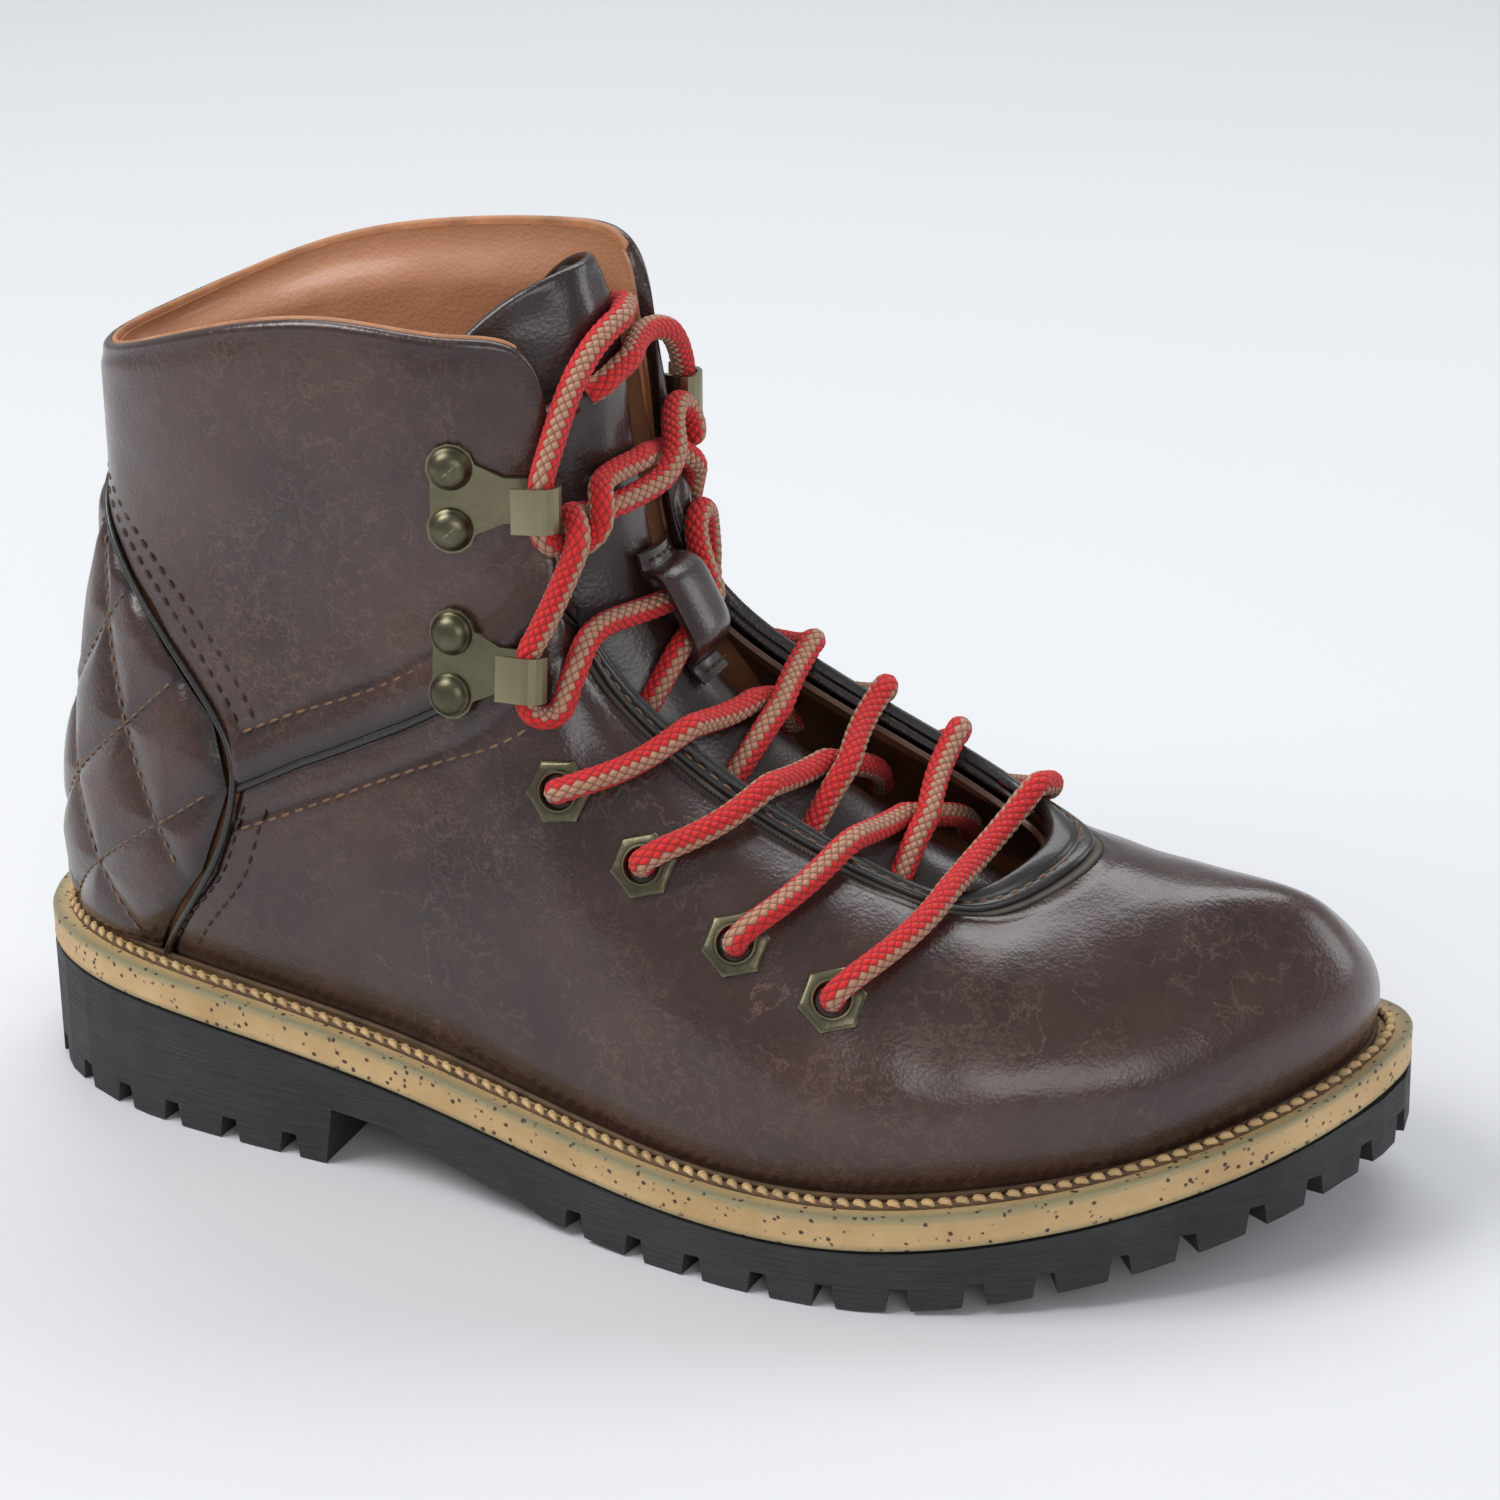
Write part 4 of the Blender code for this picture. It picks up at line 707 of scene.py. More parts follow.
def strand(tree, value):
    """The height of one set of strands, which falls to nothing between them."""
    wave = math_node(tree, "SINE", math_node(tree, "MULTIPLY", value, math.pi))
    return math_node(tree, "ABSOLUTE", wave)


def lace_material():
    """Round braid: cells of a 16-strand plait, two runs of them tan, with painted shade in the gaps between
    strands.
    """
    made, tree, shader = new_material("lace_braid", roughness=0.75, sheen_weight=0.08)
    axes = node(tree, "ShaderNodeSeparateXYZ", {0: node(tree, "ShaderNodeUVMap").outputs[0]}).outputs
    along = math_node(tree, "MULTIPLY", axes[0], 0.46)
    round_it = math_node(tree, "MULTIPLY", axes[1], 8.0)
    one = math_node(tree, "ADD", along, round_it)
    two = math_node(tree, "SUBTRACT", along, round_it)
    cell = math_node(tree, "SUBTRACT", math_node(tree, "FLOOR", one), math_node(tree, "FLOOR", two))
    place = math_node(tree, "FRACT", math_node(tree, "ADD", math_node(tree, "MULTIPLY", cell, 0.125), 4.0))
    off = math_node(tree, "ABSOLUTE", math_node(tree, "SUBTRACT", place, 0.5))
    stripe = math_node(tree, "LESS_THAN", off, 0.19)
    fibre = noise(tree, coordinates(tree), 900, 3)
    red = mixed(tree, fibre, (0.50, 0.004, 0.006), (0.85, 0.02, 0.018))
    tan = mixed(tree, fibre, (0.36, 0.17, 0.10), (0.62, 0.33, 0.21))
    height = math_node(tree, "MULTIPLY", strand(tree, one), strand(tree, two))
    color = mixed(tree, stripe, red, tan)
    # Painted shade: the colour goes dark red where the strands dip, in the gaps between them.
    strand_gap_shade = ranged(tree, height, 0.0, 0.35, 0.75, 0)
    tree.links.new(mixed(tree, strand_gap_shade, color, (0.10, 0.004, 0.004)), shader.inputs["Base Color"])
    tree.links.new(bump(tree, fibre, 0.3, 0.0003, bump(tree, height, 0.8, 0.0006)), shader.inputs["Normal"])
    return made


BROWN = leather("brown_leather", (0.019, 0.0075, 0.0060), (0.064, 0.0265, 0.0205),
                (0.20, 0.105, 0.075), 0.28)
TONGUE_BROWN = leather("tongue_leather", (0.015, 0.0063, 0.0052), (0.036, 0.015, 0.0118),
                       (0.10, 0.06, 0.045), 0.33, 0.5)
BLACK = leather("edge_leather", (0.009, 0.007, 0.0065), (0.016, 0.012, 0.011),
                (0.04, 0.03, 0.026), 0.38, 0.4)
TAN = leather("tan_lining", (0.43, 0.185, 0.088), (0.50, 0.235, 0.118), (0.36, 0.15, 0.07), 0.55, 0.35, 1.3)
TAN_EDGE = plain("tan_edge", (0.42, 0.19, 0.09), 0.55, 500, 0.0003)
THREAD = plain("thread", (0.035, 0.016, 0.009), 0.6, 900, 0.0003)
THREAD_LIGHT = plain("thread_brown", (0.16, 0.085, 0.045), 0.6, 900, 0.0003)
UNDERLAY = plain("underlay", (0.10, 0.085, 0.07), 0.8, 600, 0.0003)
MESH_CLOTH = plain("mesh_cloth", (0.022, 0.021, 0.020), 0.85, 700, 0.001)
RUBBER = rubber_material()
BAND_TAN = band_material()
BRASS = brass_material()
LACE = lace_material()
BEAD = plain("welt_stitch", (0.52, 0.34, 0.16), 0.55, 500, 0.0004, 0.3)
GLUE = plain("feather_line", (0.10, 0.055, 0.025), 0.7, 420, 0.0008, 0.5)
FOOTBED = plain("footbed_cloth", (0.36, 0.17, 0.085), 0.8, 500, 0.0004)


# ---------------------------------------------------------------- mesh helpers

def grid_faces(rows, columns, closed=False):
    r, c = np.meshgrid(np.arange(rows - 1), np.arange(columns if closed else columns - 1), indexing="ij")
    d = (c + 1) % columns
    quads = np.stack([r * columns + c, r * columns + d, (r + 1) * columns + d, (r + 1) * columns + c], -1)
    return quads.reshape(-1, 4).tolist()


def piece(name, points, faces, finish, sharp=50, body="boot", attributes=None):
    mesh = bpy.data.meshes.new(name)
    mesh.from_pydata(to_frame(points).tolist(), [], faces)
    form = bmesh.new()
    form.from_mesh(mesh)
    if form.calc_volume(signed=True) < 0:
        bmesh.ops.reverse_faces(form, faces=form.faces)
    form.to_mesh(mesh)
    form.free()
    for key, values in (attributes or {}).items():
        layer = mesh.attributes.new(key, "FLOAT", "POINT")
        layer.data.foreach_set("value", np.asarray(values, float).ravel())
    mesh.materials.append(finish)
    mesh.shade_smooth()
    mesh.set_sharp_from_angle(angle=math.radians(sharp))
    made = bpy.data.objects.new(name, mesh)
    bpy.context.scene.collection.objects.link(made)
    if body:
        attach(made, body)
    return made


def shell(name, outer, inner, finish, closed=False, burnish_and_shade=None, body="boot"):
    """A closed skin between two grids, with walls round the edges."""
    rows, columns = outer.shape[:2]
    count = rows * columns
    faces = grid_faces(rows, columns, closed)
    faces += [[count + i for i in face[::-1]] for face in faces]
    span = columns if closed else columns - 1
    for c in range(span):
        d = (c + 1) % columns
        top = (rows - 1) * columns
        faces.append([d, c, count + c, count + d])
        faces.append([top + c, top + d, count + top + d, count + top + c])
    if not closed:
        for r in range(rows - 1):
            a, b = r * columns, (r + 1) * columns
            faces.append([a, b, count + b, count + a])
            a, b = a + columns - 1, b + columns - 1
            faces.append([b, a, count + a, count + b])
    points = np.concatenate([outer.reshape(-1, 3), inner.reshape(-1, 3)])
    wear_and_shade = None if burnish_and_shade is None else {"burnish_and_shade": np.concatenate([burnish_and_shade.ravel(), burnish_and_shade.ravel()])}
    return piece(name, points, faces, finish, body=body, attributes=wear_and_shade)


def levels(count, length, fine=(0, 0.12, 0.4, 0.9, 1.6)):
    """Places from 0 to 1 that crowd at both ends, for edges that are rounded."""
    ends = np.array(fine) / length
    return np.concatenate([ends, np.linspace(2.6 / length, 1 - 2.6 / length, count), 1 - ends[::-1]])


def edge_distance(points):
    """Distance in mm from every place of a grid to the nearest of its four edges."""
    across = np.linalg.norm(np.diff(points, axis=0), axis=2)
    along = np.linalg.norm(np.diff(points, axis=1), axis=2)
    down = np.concatenate([np.zeros((1, points.shape[1])), np.cumsum(across, 0)])
    over = np.concatenate([np.zeros((points.shape[0], 1)), np.cumsum(along, 1)], 1)
    return down, down[-1] - down, over, over[:, -1:] - over


def rounding(distance, radius):
    """How far a skin's face falls back near its edge, for a half-round edge."""
    share = np.clip(distance / radius, 0, 1)
    return radius * (1 - np.sqrt(1 - (1 - share) ** 2))


def wander(points, size, seed=0.0):
    """Smooth made-up unevenness between -1 and 1."""
    x, y, z = (points[..., k] / size for k in range(3))
    total = (np.sin(1.7 * x + 2.3 * z + seed) + np.sin(2.1 * y - 1.3 * x + 2 * seed)
             + np.sin(2.9 * z + 1.1 * y + seed))
    total += 0.6 * np.sin(4.3 * x + 3.1 * y + seed) + 0.6 * np.sin(5.1 * z - 3.7 * x + seed)
    return total / 4.2


def surface_path(places, step=0.5):
    """A dense run of (u, v) through the given places, evenly spaced in mm."""
    places = np.array(places, float)
    rough = spline(np.arange(len(places)), places, np.linspace(0, len(places) - 1, 60 * len(places)))
    run = np.linalg.norm(np.diff(upper(rough[:, 0], rough[:, 1]), axis=0), axis=1)
    run = np.concatenate([[0], np.cumsum(run)])
    even = np.arange(0, run[-1], step)
    return np.column_stack([np.interp(even, run, rough[:, k]) for k in range(2)])


def tube(name, centres, radius, finish, sides=10, body="boot", closed=False, flat=None):
    centres = np.array(centres, float)
    ahead = np.roll(centres, -1, 0) - np.roll(centres, 1, 0) if closed else np.gradient(centres, axis=0)
    ahead /= np.linalg.norm(ahead, axis=1)[:, None]
    side = np.cross(ahead[0], (0.1, 0.2, 1.0))
    points = []
    radius = np.broadcast_to(radius, len(centres))
    for centre, line, size in zip(centres, ahead, radius):
        side = side - line * np.dot(side, line)
        side = side / np.linalg.norm(side)
        other = np.cross(line, side)
        for angle in np.linspace(0, 2 * math.pi, sides, endpoint=False):
            points.append(centre + (side * math.cos(angle) + other * math.sin(angle)) * size)
    faces = grid_faces(len(centres), sides, closed=True)
    if closed:
        last = (len(centres) - 1) * sides
        faces += [[last + k, last + (k + 1) % sides, (k + 1) % sides, k] for k in range(sides)]
    else:
        faces.append(list(range(sides))[::-1])
        faces.append([sides * (len(centres) - 1) + k for k in range(sides)])
    return piece(name, np.array(points), faces, finish, body=body)


def stitches(name, centres, normals, finish, length=2.5, gap=1.0, radius=0.36, body="boot", slant=0.0):
    """A row of thread stitches, each a short rounded bar that dips at both ends."""
    run = np.concatenate([[0], np.cumsum(np.linalg.norm(np.diff(centres, axis=0), axis=1))])
    starts = np.arange(0.4, run[-1] - length, length + gap)
    points, faces = [], []
    for start in starts:
        places = start + np.array([0, 0.18, 0.5, 0.82, 1.0]) * length
        middle = np.column_stack([np.interp(places, run, centres[:, k]) for k in range(3)])
        out = np.column_stack([np.interp(places, run, normals[:, k]) for k in range(3)])
        out /= np.linalg.norm(out, axis=1)[:, None]
        line = middle[-1] - middle[0]
        line /= np.linalg.norm(line)
        across = np.cross(line, out[2])
        middle = middle + across * slant * np.array([-0.5, -0.3, 0, 0.3, 0.5])[:, None]
        middle += out * np.array([-0.3, 0.05, 0.16, 0.05, -0.3])[:, None]
        base = len(points)
        for centre, normal, wide in zip(middle, out, (0.45, 0.95, 1.0, 0.95, 0.45)):
            for angle in np.linspace(0, 2 * math.pi, 6, endpoint=False):
                points.append(centre + (across * math.cos(angle) + normal * math.sin(angle)) * radius * wide)
        faces += [[base + i for i in face] for face in grid_faces(5, 6, closed=True)]
        faces.append([base + k for k in range(6)][::-1])
        faces.append([base + 24 + k for k in range(6)])
    return piece(name, np.array(points), faces, finish, body=body)


def sewn_row(name, places, lift=0.1, finish=None, **options):
    """Stitches along a path on the upper."""
    path = surface_path(places)
    base = upper(path[:, 0], path[:, 1])
    out = upper(path[:, 0], path[:, 1], -1) - base
    return stitches(name, base + out * lift, out, finish or THREAD_LIGHT, **options)


def mirrored(places):
    return [(COLUMNS - u, v) for u, v in places]


# ---------------------------------------------------------------- lace

def lace_pieces():
    """The braid and its two tips, on the route that the CAD lace takes."""
    places = settle(smooth_route(lace_route(), LACE_SPACING), frame_tree())
    body = places[TIP_POINTS:-TIP_POINTS]
    run = np.concatenate([[0], np.cumsum(np.linalg.norm(np.diff(body, axis=0), axis=1))])
    along = np.arange(0, run[-1], 0.6)
    centres = spline(run, body, along)
    sides = 20
    ahead = np.gradient(centres, axis=0)
    ahead /= np.linalg.norm(ahead, axis=1)[:, None]
    side = np.cross(ahead[0], (0.1, 0.2, 1.0))
    angles = np.linspace(0, 2 * math.pi, sides, endpoint=False)
    turn = np.linspace(0, 1, sides, endpoint=False)
    points = np.zeros((len(centres), sides, 3))
    for k, (centre, line) in enumerate(zip(centres, ahead)):
        side = side - line * np.dot(side, line)
        side = side / np.linalg.norm(side)
        other = np.cross(line, side)
        twist = angles + along[k] * 0.012
        one, two = along[k] * 0.46 + turn * 8, along[k] * 0.46 - turn * 8
        relief = np.abs(np.sin(math.pi * one)) * np.abs(np.sin(math.pi * two))
        size = LACE_DIAMETER / 2 - 0.12 + 0.24 * relief
        points[k] = centre + (side[None] * np.cos(twist)[:, None]
                              + other[None] * np.sin(twist)[:, None]) * size[:, None]
    faces = grid_faces(len(centres), sides, closed=True)
    faces.append(list(range(sides))[::-1])
    faces.append([sides * (len(centres) - 1) + k for k in range(sides)])
    lace = piece("lace_braid", points.reshape(-1, 3), faces, LACE, sharp=180)
    layer = lace.data.uv_layers.new(name="UVMap")
    corner = np.zeros(len(lace.data.loops), int)
    lace.data.loops.foreach_get("vertex_index", corner)
    ring, column = corner // sides, corner % sides
    share = column / sides
    first = np.zeros(len(lace.data.polygons), int)
    total = np.zeros(len(lace.data.polygons), int)
    lace.data.polygons.foreach_get("loop_start", first)
    lace.data.polygons.foreach_get("loop_total", total)
    for start, size in zip(first, total):
        if size == 4 and column[start:start + 4].max() - column[start:start + 4].min() > 1:
            share[start:start + 4] = np.where(column[start:start + 4] == 0, 1.0, share[start:start + 4])
    layer.data.foreach_set("uv", np.column_stack([along[ring], share]).ravel())
    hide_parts("lace")
    for number, ends in ((1, places[:TIP_POINTS]), (2, places[::-1][:TIP_POINTS])):
        run_out = np.linspace(0, len(ends) - 1, 24)
        middle = spline(np.arange(len(ends)), ends, run_out)
        sizes = LACE_DIAMETER / 2 * np.concatenate([[0.35, 0.7, 0.9], np.full(21, 0.97)])
        tip = tube(f"lace_end_{number}", middle, sizes, TIP_FINISH, sides=16)
        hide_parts(f"lace_tip_{number}")


def frame_tree():
    """Every CAD piece but the lace as one search tree, in metres."""
    form = bmesh.new()
    for name, made in NODES.items():
        if not name.startswith("lace"):
            form.from_mesh(made.data)
    tree = BVHTree.FromBMesh(form)
    form.free()
    return tree


TIP_FINISH = plain("lace_tip", (0.10, 0.012, 0.012), 0.35, 300, 0.0002)
lace_pieces()


# ---------------------------------------------------------------- upper

ENDS = 2.47


def between_lines(v, line, width):
    return np.exp(-((v - line) / width) ** 2)


def lower_leather():
    """The one-piece lower upper, with the pinch of its seams and soft creases at the ball."""
    around = np.linspace(ENDS, COLUMNS - ENDS, 400)
    from_heel = np.minimum(around, COLUMNS - around)
    top = np.where(np.abs(around - 12) < 5.2, 1.0, seam(around) - 0.004)
    v = levels(62, 90)[:, None] * top
    near_end = np.clip(1 - (from_heel - ENDS) / 1.4, 0, 1)
    shift = patch_edge(np.minimum(v, 0.358)) + 0.07 - ENDS
    bent = around + near_end * np.where(around < 12, 1, -1) * shift
    base = upper(bent, v)
    low, high, left, right = edge_distance(base)
    edge = np.minimum(np.minimum(high, left), right)
    side = np.minimum(np.minimum(bent, COLUMNS - bent), 24)
    row = seam(bent) - 0.054
    sewn = (side < 6.4) * between_lines(v, row, 0.008)
    throat = (side > 6.4) * between_lines(v, 0.866, 0.010)
    creases = wander(base, 9.0, 1.0) * 0.22 + wander(base, 22.0, 3.0) * 0.30
    flex = np.exp(-((base[..., 0] - 222) / 22) ** 2) * np.sin(base[..., 0] / 2.6 + base[..., 1] / 7)
    depth = 0.45 * sewn + 0.35 * throat + creases * smooth_step(low, 1, 12) * 0.6 - 0.16 * flex * (v > 0.3)
    depth = depth + rounding(edge, 0.9)
    outer = upper(bent, v, depth)
    inner = upper(bent, v, LEATHER - rounding(edge, 0.6))
    burnish_and_shade = np.clip(np.exp(-edge / 2.2) * 0.8 + np.exp(-low / 3.5) * 0.75
                      + 0.5 * np.exp(-np.abs(v - 0.90) * 60)
                      * (side > 6.4) + 0.45 * sewn, 0, 1)
    toe = np.exp(-(((base[..., 0] - 272) / 16) ** 2 + ((base[..., 2] - 66) / 9) ** 2)) * 0.35
    made = shell("lower_leather", outer, inner, BROWN, burnish_and_shade=np.clip(burnish_and_shade + toe, 0, 1))
    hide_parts("lower_upper")


def collar_rows(u, depth_at_top, radius, turn=160, steps=9):
    """Rows that roll over the collar's top edge, out of the surface at v 1 and back down inside."""
    base = upper(u, np.ones_like(u), depth_at_top)
    out = upper(u, np.ones_like(u), depth_at_top - 1) - base
    rise = base - upper(u, np.full_like(u, 0.985), depth_at_top)
    rise -= out * np.sum(rise * out, 1)[:, None]
    rise /= np.linalg.norm(rise, axis=1)[:, None]
    rows = []
    for angle in np.radians(np.linspace(0, turn, steps))[1:]:
        rows.append(base - out * radius * (1 - math.cos(angle)) + rise * radius * math.sin(angle))
    return np.array(rows)


def ankle_leather(side):
    """A padded ankle panel with a rolled lower edge and a rolled top."""
    count = 190
    u = np.concatenate([np.linspace(0.03, 2.35, count // 3), np.linspace(2.45, 6.75, 2 * count // 3)])
    low = np.where(u < 2.42, np.interp(u, [0, 0.25, 0.95, 1.72, 2.26, 2.42],
                                       [0.73, 0.73, 0.67, 0.57, 0.46, 0.37]), seam(u)) + 0.004
    low = np.minimum(low, 0.985)
    v = low + (1 - low) * levels(46, 100)[:, None]
    around = np.broadcast_to(u, v.shape)
    actual = around if side == "lateral" else COLUMNS - around
    base = upper(actual, v)
    bottom, top, _, front = edge_distance(base)
    off = v - seam(around)
    rolled = (around > 2.42) * np.sin(np.pi * np.clip(off / 0.072, 0, 1))
    sewn = (around > 2.42) * (around < 4.0) * between_lines(off, 0.075, 0.006)
    padded = smooth_step(v, 0.62, 0.9) * (1 - smooth_step(around, 4.2, 5.2))
    edge = np.minimum(np.where(around > 4.2, np.minimum(bottom, front), bottom), front)
    depth = (-1.1 * rolled + 0.5 * sewn - 0.9 * padded * np.sin(np.pi * np.clip((v - 0.6) / 0.46, 0, 1))
             + wander(base, 13.0, 2.0) * 0.28 + wander(base, 5.5, 5.0) * 0.07 + rounding(edge, 0.9))
    fade = 1 - smooth_step(v, 0.96, 1.0)
    depth = depth * fade
    outer = upper(actual, v, depth)
    if side == "medial":
        roll_u = COLUMNS - u
    else:
        roll_u = u
    roll = collar_rows(roll_u, 0.0, 1.5)
    outer = np.concatenate([outer, roll])
    inner = upper(actual, v, LEATHER - rounding(edge, 0.6))
    inner_roll = collar_rows(roll_u, 0.9, 0.6)
    inner = np.concatenate([inner, inner_roll])
    wear_and_shade = np.clip(np.exp(-edge / 2.0) * 0.8 + sewn * 0.5 + np.exp(-top / 3.0) * 0.35
                   + (around > 2.42) * np.exp(-np.abs(off) * 45) * 0.7, 0, 1)
    wear_and_shade = np.concatenate([wear_and_shade, np.full(roll.shape[:2], 0.35)])
    made = shell("ankle_leather_" + side, outer, inner, BROWN, burnish_and_shade=wear_and_shade)
    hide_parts("ankle_panel_" + side)


def heel_quilt():
    """The quilted heel patch: pillows between two families of slanting seams."""
    rows, columns = 150, 170
    v = (0.715 * levels(rows, 95))[:, None]
    t = np.linspace(-1, 1, columns)[None, :]
    around = t * patch_edge(v)
    v = np.broadcast_to(v, around.shape)
    side = np.abs(around)
    first = (v - 0.22 * side - 0.054) / 0.21
    second = (v + 0.38 * side - 1.02) / 0.32
    near = np.minimum(np.abs(first - np.round(first)) * 15.0, np.abs(second - np.round(second)) * 15.0)
    base = upper(around, v)
    low, high, left, right = edge_distance(base)
    edge = np.minimum(np.minimum(low + 0.5, high), np.minimum(left, right))
    pillow = 1 - np.exp(-(near / 2.6) ** 1.3)
    lift = 0.7 + 1.9 * pillow
    lift = lift * (1 - np.exp(-(edge / 2.4) ** 1.2)) + wander(base, 7.0, 4.0) * 0.12
    outer = upper(around, v, -lift)
    inner = upper(around, v, LEATHER - 0.5)
    wear_and_shade = np.clip(np.exp(-near / 1.1) * 0.55 + np.exp(-edge / 2.5) * 0.8, 0, 1)
    made = shell("heel_quilt", outer, inner, BROWN, burnish_and_shade=wear_and_shade)
    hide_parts("heel_patch")
    for sign in (-1, 1):
        for number, shift in enumerate((-0.156, 0.054, 0.264, 0.474)):
            quilt_row(f"quilt_rise_{number}_{'m' if sign < 0 else 'l'}", sign, shift, 0.22)
        for number, shift in enumerate((0.38, 0.70, 1.02)):
            quilt_row(f"quilt_fall_{number}_{'m' if sign < 0 else 'l'}", sign, shift, -0.38)


def quilt_row(name, sign, shift, slope):
    side = np.linspace(0, 2.4, 400)
    v = shift + slope * side
    inside = (v > 0.03) & (v < 0.70)
    inside &= side < patch_edge(np.clip(v, 0, 0.72)) - 0.1
    if inside.sum() < 30:
        return
    places = np.column_stack([sign * side[inside] + 0.0, v[inside]])
    base = upper(places[:, 0], places[:, 1], -0.75)
    out = upper(places[:, 0], places[:, 1], -1.75) - base
    stitches(name, base, out, THREAD_LIGHT, length=2.2, gap=0.9, radius=0.3)


def lining_leather():
    """Tan lining with its folded top edge standing just proud of the collar."""
    around = np.linspace(0, COLUMNS, 330, endpoint=False)
    rows = np.concatenate([np.linspace(0, 0.9, 54), np.linspace(0.91, 1.0, 12)])
    grid_u, grid_v = np.meshgrid(around, rows)
    depth = lining_depth(grid_u, grid_v)
    base = upper(grid_u, grid_v, depth)
    soft = smooth_step(grid_v, 0.45, 0.7) * (1 - smooth_step(grid_v, 0.93, 0.99))
    folds = (wander(base, 8.0, 6.0) * 0.45 + wander(base, 19.0, 1.5) * 0.5) * soft
    outer = upper(grid_u, grid_v, depth)
    inner = upper(grid_u, grid_v, depth + LINING + folds * 0.6 + 0.25 * soft)
    outer_roll = collar_rows(around, LEATHER + CURVE_GAP, 0.55, 90, 5)
    top = outer_roll[-1] * 0.5 + inner[-1] * 0.5 + (outer_roll[-1] - outer[-1]) * 0.6
    outer = np.concatenate([outer, outer_roll[:2]])
    inner = np.concatenate([inner, [inner[-1] * 0.7 + top * 0.3], [top]])
    # Painted shade: the lining under the throat, between the tongue and the facings, is made darker in
    # colour where it would lie in shade.
    throat = smooth_step(grid_v, 0.36, 0.44) * (np.abs(grid_u - 12) < 5.4)
    throat = np.concatenate([throat, throat[-1:], throat[-1:]])
    made = shell("collar_lining", outer, inner, TAN, closed=True, burnish_and_shade=throat)
    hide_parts("lining")


def collar_rim():
    """The folded edge of the lining along the collar's top, sewn with small stitches."""
    for side in ("lateral", "medial"):
        u = np.linspace(0.0, 4.75, 170)
        actual = u if side == "lateral" else COLUMNS - u
        base = upper(actual, np.ones_like(u), 2.55)
        out = upper(actual, np.ones_like(u), 1.55) - base
        rise = base - upper(actual, np.full_like(u, 0.98), 2.55)
        rise -= out * np.sum(rise * out, 1)[:, None]
        rise /= np.linalg.norm(rise, axis=1)[:, None]
        section = [(-0.55, -1.6), (-0.6, 0.6), (-0.35, 1.25), (0.0, 1.45), (0.4, 1.25),
                   (0.6, 0.6), (0.55, -1.6)]
        points = np.array([base - out * a + rise * (b + 0.5) for a, b in section])
        points = np.swapaxes(points, 0, 1)
        rows, columns = points.shape[:2]
        faces = grid_faces(rows, columns, closed=True)
        faces.append(list(range(columns))[::-1])
        faces.append([(rows - 1) * columns + k for k in range(columns)])
        made = piece("collar_rim_" + side, points.reshape(-1, 3), faces, TAN_EDGE)
        seat = base + rise * 1.2 + out * 0.55
        stitches("rim_stitch_" + side, seat, out, THREAD_LIGHT, length=1.9, gap=0.8, radius=0.26)


def throat_binding():
    """The black padded edge round the throat, over a pinked underlay."""
    for side in ("lateral", "medial"):
        count = 260
        u = np.linspace(6.6, 12.0, count)
        actual = u if side == "lateral" else COLUMNS - u
        t = levels(18, 12, (0, 0.1, 0.35, 0.8, 1.5))[:, None]
        v = 0.905 + 0.093 * t
        v = np.broadcast_to(v, (v.shape[0], count))
        grid = np.broadcast_to(actual, v.shape)
        base = upper(grid, v)
        low, high, _, _ = edge_distance(base)
        sewn = np.exp(-((low - 3.4) / 0.7) ** 2)
        puff = 1.9 + 0.7 * np.sin(np.pi * np.clip((low - 3.4) / 7.0, 0, 1)) - 0.45 * sewn
        depth = -puff + rounding(low, 1.0) + rounding(high, 1.2)
        outer = upper(grid, v, depth + 0.06 * wander(base, 4.0))
        inner = upper(grid, v, -0.5 + 0 * depth)
        made = shell("throat_edge_" + side, outer, inner, BLACK)
        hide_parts("facing_" + side)
        path = np.column_stack([actual[5:-2], np.full(count - 7, 0.905 + 0.093 * 0.29)])
        seat = upper(path[:, 0], path[:, 1], -1.75)
        out = upper(path[:, 0], path[:, 1], -2.75) - seat
        stitches("throat_stitch_" + side, seat, out, THREAD_LIGHT, length=2.4, gap=0.9, radius=0.3)
        teeth = 3 * (count // 2)
        tooth_u = np.interp(np.linspace(0, 1, teeth), np.linspace(0, 1, count), actual)
        zigzag = 0.883 + 0.010 * (np.arange(teeth) % 2)
        strip_v = np.array([zigzag, np.full(teeth, 0.93)])
        strip_u = np.broadcast_to(tooth_u, strip_v.shape)
        above, below = upper(strip_u, strip_v, -0.45), upper(strip_u, strip_v, -0.05)
        made = shell("pinked_edge_" + side, above, below, UNDERLAY)


